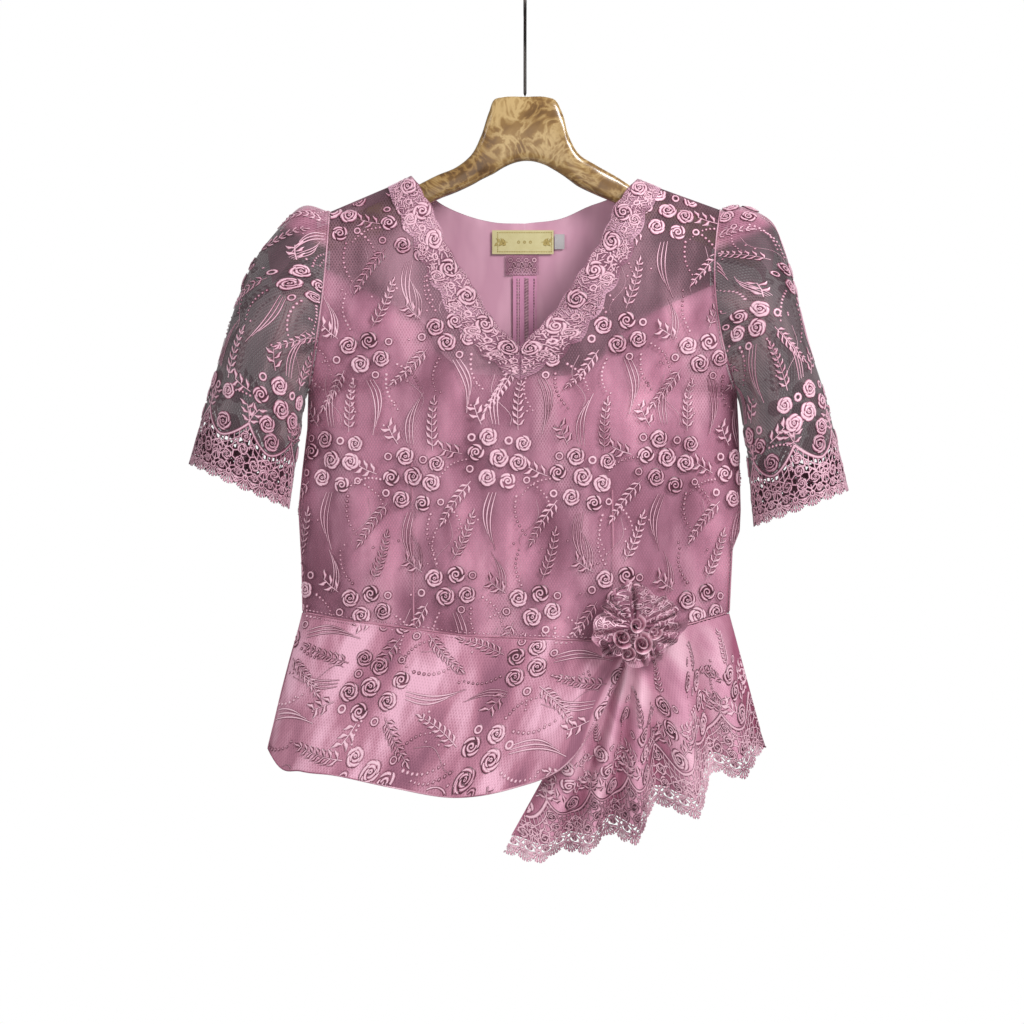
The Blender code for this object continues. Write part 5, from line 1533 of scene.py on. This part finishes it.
HOOK_STEM = [(0, -111.2), (0, -92), (0, -72), (0.8, -60), (4.5, -49)]
HOOK_INNER, WIRE, HOOK_TURN = 20.0, 1.6, (-60, 205)
HANGER_ROWS, HANGER_ROUND, WIRE_ROUND = 190, 28, 14


def tube(route, radius):
    """Round section carried along a line of y and z, with both ends closed to a point."""
    heading = unit(np.gradient(route, axis=0))
    angle = np.linspace(0, 2 * math.pi, WIRE_ROUND, endpoint=False)
    fat = np.full(len(route), radius)
    fat[0] = fat[-1] = radius * 0.3
    off = fat[:, None] * np.cos(angle)
    y = route[:, :1] + off * heading[:, 1:]
    z = route[:, 1:] - off * heading[:, :1]
    return np.stack((fat[:, None] * np.sin(angle), y, z), -1)


stations = curve(HANGER, np.linspace(0, 1, HANGER_ROWS))
x, top, bottom, half = (stations[:, k : k + 1] for k in range(4))
around, row = np.linspace(0, 2 * math.pi, HANGER_ROUND, endpoint=False), np.arange(HANGER_ROWS)
ends = np.clip(np.minimum(row, row[::-1]) / 3.0, 0.12, 1)[:, None]
squared = lambda v, power: np.sign(v) * np.abs(v) ** power
hanger_points = np.stack((
    x + 0 * around, half * ends * squared(np.cos(around), 0.62),
    (top + bottom) / 2 + (top - bottom) / 2 * ends * squared(np.sin(around), 0.8),
), -1)
hanger_faces = grid_faces(HANGER_ROWS, HANGER_ROUND, round_across=True)
hanger_piece = make("hanger_marbled", hanger_points, hanger_faces, ACRYLIC)
turn = np.radians(np.linspace(*HOOK_TURN, 60))
wire_radius = HOOK_INNER + WIRE
bend = np.stack((wire_radius * np.cos(turn), -HOOK_INNER + wire_radius * np.sin(turn)), -1)
route = np.concatenate((curve(HOOK_STEM, np.linspace(0, 1, 24))[:-1], bend)) * (-1, 1)
hook_faces = grid_faces(len(route), WIRE_ROUND, round_across=True)
hook_piece = make("hook_wire", tube(route, WIRE), hook_faces, WIRE_STEEL)

print("hanger is", round(float(np.ptp(hanger_points[..., 0]))), "mm wide, the wire", 2 * WIRE, "mm thick")

# %% [markdown]
# ## Inside the back
# A woven label and a small size tag are sewn under the neck, both bare of words. Below them a lace stay
# covers the top of the zip, whose tape runs down the centre with its coil of teeth.


# %% Label, tag, stay and zip
def woven(name, light, dark, across=0.5, down=0.7):
    """Narrow woven tape: fine ribs both ways."""
    made, tree, surface = material(name, light, 0.6, Sheen_Weight=0.25)
    coords = add(tree, "UVMap", uv_map="cloth").outputs[0]
    one, two = stripes(tree, coords, across, 0), stripes(tree, coords, down, 90)
    weave = add(tree, "Math", {0: one, 1: two}, operation="MULTIPLY").outputs[0]
    cloud = add(tree, "TexNoise", {"Vector": coords}, {"Scale": 90.0, "Detail": 3.0})
    tone = add(tree, "Math", {0: cloud.outputs["Fac"], 2: weave}, {1: 0.8}, operation="MULTIPLY_ADD")
    tree.links.new(ramp(tree, tone.outputs[0], (0.2, dark), (0.9, light)), surface.inputs["Base Color"])
    bump = add(tree, "Bump", {"Height": weave}, {"Strength": 0.3, "Distance": 0.0002})
    tree.links.new(bump.outputs[0], surface.inputs["Normal"])
    return made


LABEL_CLOTH = woven("woven_gold_label", "#E2D9A8", "#C7BA80")
LABEL_THREAD = thread("woven_label_figure", "#C2AE6A", "#A08A4C", "#8A7540")
TAG_CLOTH = woven("printed_size_tag", "#C9C5C6", "#A9A4A6")
TAPE_CLOTH = woven("polyester_zip_tape", "#E3A0C2", "#CC84AA", 0.8, 1.2)
INSIDE_LANE = 3.6


def inside_strip(area, wall):
    """Strip sewn inside the back, seen from the front: its points lie a lane and its own wall inside."""
    x0, x1, z0, z1 = area
    columns, rows = max(int((x1 - x0) / 3), 2), max(int((z0 - z1) / 4), 3)
    x, z = np.meshgrid(np.linspace(x0, x1, columns), np.linspace(z0, z1, rows))
    flat = Cloth(back_surface(x, z), BACK_WAY)
    return Cloth(flat.p - flat.n * (INSIDE_LANE + wall), FRONT_WAY)


label_cloth = inside_strip((-33, 29, -242, -266), 0.6)
label = label_cloth.shell("label_cloth", LABEL_CLOTH, "label")
MOTIFS["frame_line"] = band([(-0.5, 0), (0.5, 0)], 0.9, 0.25)
wide, tall = label_cloth.reach[1] - 2.2, label_cloth.reach[2] - 4.4
figure = [("small_rose", f, tall / 2 + 2.2, 0, 3.2, 0) for f in (-22, 22)]
figure += [("sprig", side * 17, tall / 2 + 2.2, -side * 90, 0.62, int(side > 0)) for side in (-1, 1)]
figure += [("dot", f, g, 0, 0.45, 0) for f in np.arange(-wide, wide + 0.1, 1.7) for g in (2.4, tall + 2)]
figure += [("dot", f, g, 0, 0.45, 0) for f in (-wide, wide) for g in np.arange(2.4, tall + 2, 1.7)]
figure += [("ring", f, tall / 2 + 2.2, 0, 1.5, 0) for f in (-6, 0, 6)]
label_figure = stitched("label_figure", LABEL_THREAD, stamp(label_cloth, figure, lift=0.05, relief=0.3))
tag = inside_strip((30, 40, -246, -261), 0.5).shell("size_tag_cloth", TAG_CLOTH, "size_tag")
stay_cloth = inside_strip((-19, 14, -267, -287), 0.8)
stay = stay_cloth.shell("back_stay_net", TRIM_NET)
loops = [("ring", f, g, 0, 2.6, 0) for f in (-12, -4, 4, 12) for g in (5, 15)]
loops += [("small_rose", f, 10, 0, 3.6, 0) for f in (-8, 0, 8)]
stay_lace = stitched("back_stay_lace", CORD_THREAD, stamp(stay_cloth, loops, lift=0.1, relief=0.5))
tape_cloth = inside_strip((-12, 12, -288, -700), 1.0)
tape = tape_cloth.shell("zip_tape_cloth", TAPE_CLOTH, "tape")
MOTIFS["tooth"] = combine([band([(-2.1, 0.5), (0.5, 0)], 0.9, 0.9), band([(2.1, -0.5), (-0.5, 0)], 0.9, 0.9)])
tall = tape_cloth.reach[2]
teeth = [("tooth", 0, g, 0, 1.0, 0) for g in np.arange(3, tall - 4, 1.5)]
teeth += [("frame_line", side * 8.5, g, 90, 2.2, 0) for side in (-1, 1) for g in np.arange(4, tall - 2, 3.0)]
zip_teeth = stitched("zip_coil", CORD_THREAD, stamp(tape_cloth, teeth, lift=0.1, relief=0.8))
for name in ("zip_slider", "zip_pull_tab"):
    for material_slot in bpy.data.objects[name].material_slots:
        material_slot.material = ZIP_METAL

print("label, mm:", [round(float(v)) for v in label_cloth.reach], "teeth:", len(teeth))

# %% Pieces of the plain model that are drawn above
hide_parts("front_bodice")
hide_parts("front_lining")
for side, outer, inner in back_parts:
    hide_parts(f"back_{side}")
    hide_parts(f"back_lining_{side}")
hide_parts("peplum_front")
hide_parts("peplum_drape")
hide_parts("peplum_back")
for key, piece in sleeves.items():
    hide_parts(key)
for side, piece in heads.items():
    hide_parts(f"sleeve_head_{side}")
for side, (ground, roses) in trims.items():
    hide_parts(f"neck_trim_{side}")
for name, (ground, lace) in petals.items():
    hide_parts(f"corsage_petal_{name}")
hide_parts("hanger")
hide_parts("hook")
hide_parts("label")
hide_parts("size_tag")
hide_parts("back_stay")
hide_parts("zip_tape")
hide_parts("corsage_knot")

# %% [markdown]
# ## Room, light and camera
# The blouse hangs before a plain white room. Soft lamps stand at the upper right, the left, near the camera
# and behind, and the camera looks level at the middle of the hanger and cloth, as the picture was taken.


# %% Room, light and camera
def lamp(name, place, target, size, watts, tint="#FFFFFF"):
    """Square soft light aimed at a point."""
    data = bpy.data.lights.new(name, "AREA")
    data.size, data.energy, data.color = size, watts, linear(tint)[:3]
    made = bpy.data.objects.new(name, data)
    made.location = place
    aim = bpy.data.objects.new(f"{name}_aim", None)
    aim.location = target
    made.constraints.new("TRACK_TO").target = aim
    for thing in (made, aim):
        bpy.context.collection.objects.link(thing)
    return made


MIDDLE = (-0.013, 0.0, -0.45)
lamp("key", (1.4, -1.6, 1.0), MIDDLE, 0.9, 62)
lamp("fill", (-1.9, -1.7, 0.2), MIDDLE, 1.2, 20)
lamp("front", (0.0, -3.2, -0.6), MIDDLE, 1.8, 8)
lamp("back", (0.6, 2.2, 0.8), MIDDLE, 1.6, 14)

world = bpy.data.worlds.new("white_room")
bpy.context.scene.world = world
world.use_nodes = True
sky = world.node_tree
ground = sky.nodes["Background"]
ground.inputs["Color"].default_value = (1, 1, 1, 1)
# the camera sees a white room, and the cloth gets only a part of that light
path = add(sky, "LightPath")
strength = add(sky, "MapRange", {"Value": path.outputs["Is Camera Ray"]}, {"To Min": 0.24, "To Max": 1.0})
sky.links.new(strength.outputs[0], ground.inputs["Strength"])

# the floor ends before it would show behind the blouse
floor_mesh = bpy.data.meshes.new("floor")
floor_points = [(x, y, -1.3) for x, y in ((-0.8, -0.8), (0.8, -0.8), (0.8, 0.8), (-0.8, 0.8))]
floor_mesh.from_pydata(floor_points, [], [(0, 1, 2, 3)])
floor = bpy.data.objects.new("floor", floor_mesh)
bpy.context.collection.objects.link(floor)
floor.data.materials.append(material("matt_white_floor", "#F2F0EF", 0.9)[0])

camera_data = bpy.data.cameras.new("camera")
# from three metres away, a pixel of 1024 is a millimetre at the garment's middle
camera_data.lens, camera_data.sensor_width = 105.47, 36
camera = bpy.data.objects.new("camera", camera_data)
camera.location = (-0.013, -3.0, -0.527)
camera.rotation_euler = (math.pi / 2, 0, 0)
bpy.context.collection.objects.link(camera)
bpy.context.scene.camera = camera
bpy.context.scene.view_settings.view_transform = "Standard"

# %% [markdown]
# ## What each sheet was cut from
# Every cloth piece says the size of its flat cut and its area, and these are printed.

# %% Sheets
CLOTHS = []


def declare(piece, held, on, *extra):
    """Flat size from the piece's own measure, its widest row and its longest column, and its mesh's area."""
    layer = piece.data.uv_layers[0].data
    flat = np.zeros(len(layer) * 2, np.float32)
    layer.foreach_get("uv", flat)
    width, length = (float(size) for size in np.ptp(flat.reshape(-1, 2), axis=0))
    area = min(sum(polygon.area for polygon in piece.data.polygons), 0.999 * width * length)
    CLOTHS.append((piece.name, round(width * 1000), round(length * 1000), round(area * 1e4)))


declare(front_net, "hung", ["hanger"], front_flowers, *seams["front"])
declare(front_satin, "hung", [front_net])
for side, outer, inner in back_parts:
    declare(outer, "hung", ["hanger"], *seams[f"back_{side}"])
    declare(inner, "hung", [outer])
declare(overlap_net, "hung", [front_net], overlap_flowers, *seams["overlap"])
declare(drape_net, "draped", [front_net], drape_flowers, drape_border, *seams["drape"])
declare(skirt_net, "hung", [part[1] for part in back_parts], skirt_flowers, *seams["skirt"])
for key, piece in sleeves.items():
    declare(piece, "hung", [front_net], sleeve_flowers[key], sleeve_borders[key])
back_satins = [back_parts[0][2], back_parts[1][2]]
declare(label, "laid", back_satins, label_figure)
declare(tag, "laid", back_satins[1:])
declare(stay, "laid", back_satins, stay_lace)
declare(tape, "laid", back_satins, zip_teeth)
for ground, roses in trims.values():
    declare(ground, "hung", [front_net], roses)
for ground, lace in petals.values():
    declare(ground, "gathered", [knot_heart], lace)
for side, piece in heads.items():
    declare(piece, "hung", [front_net])
for row in CLOTHS:
    print("sheet", *row)
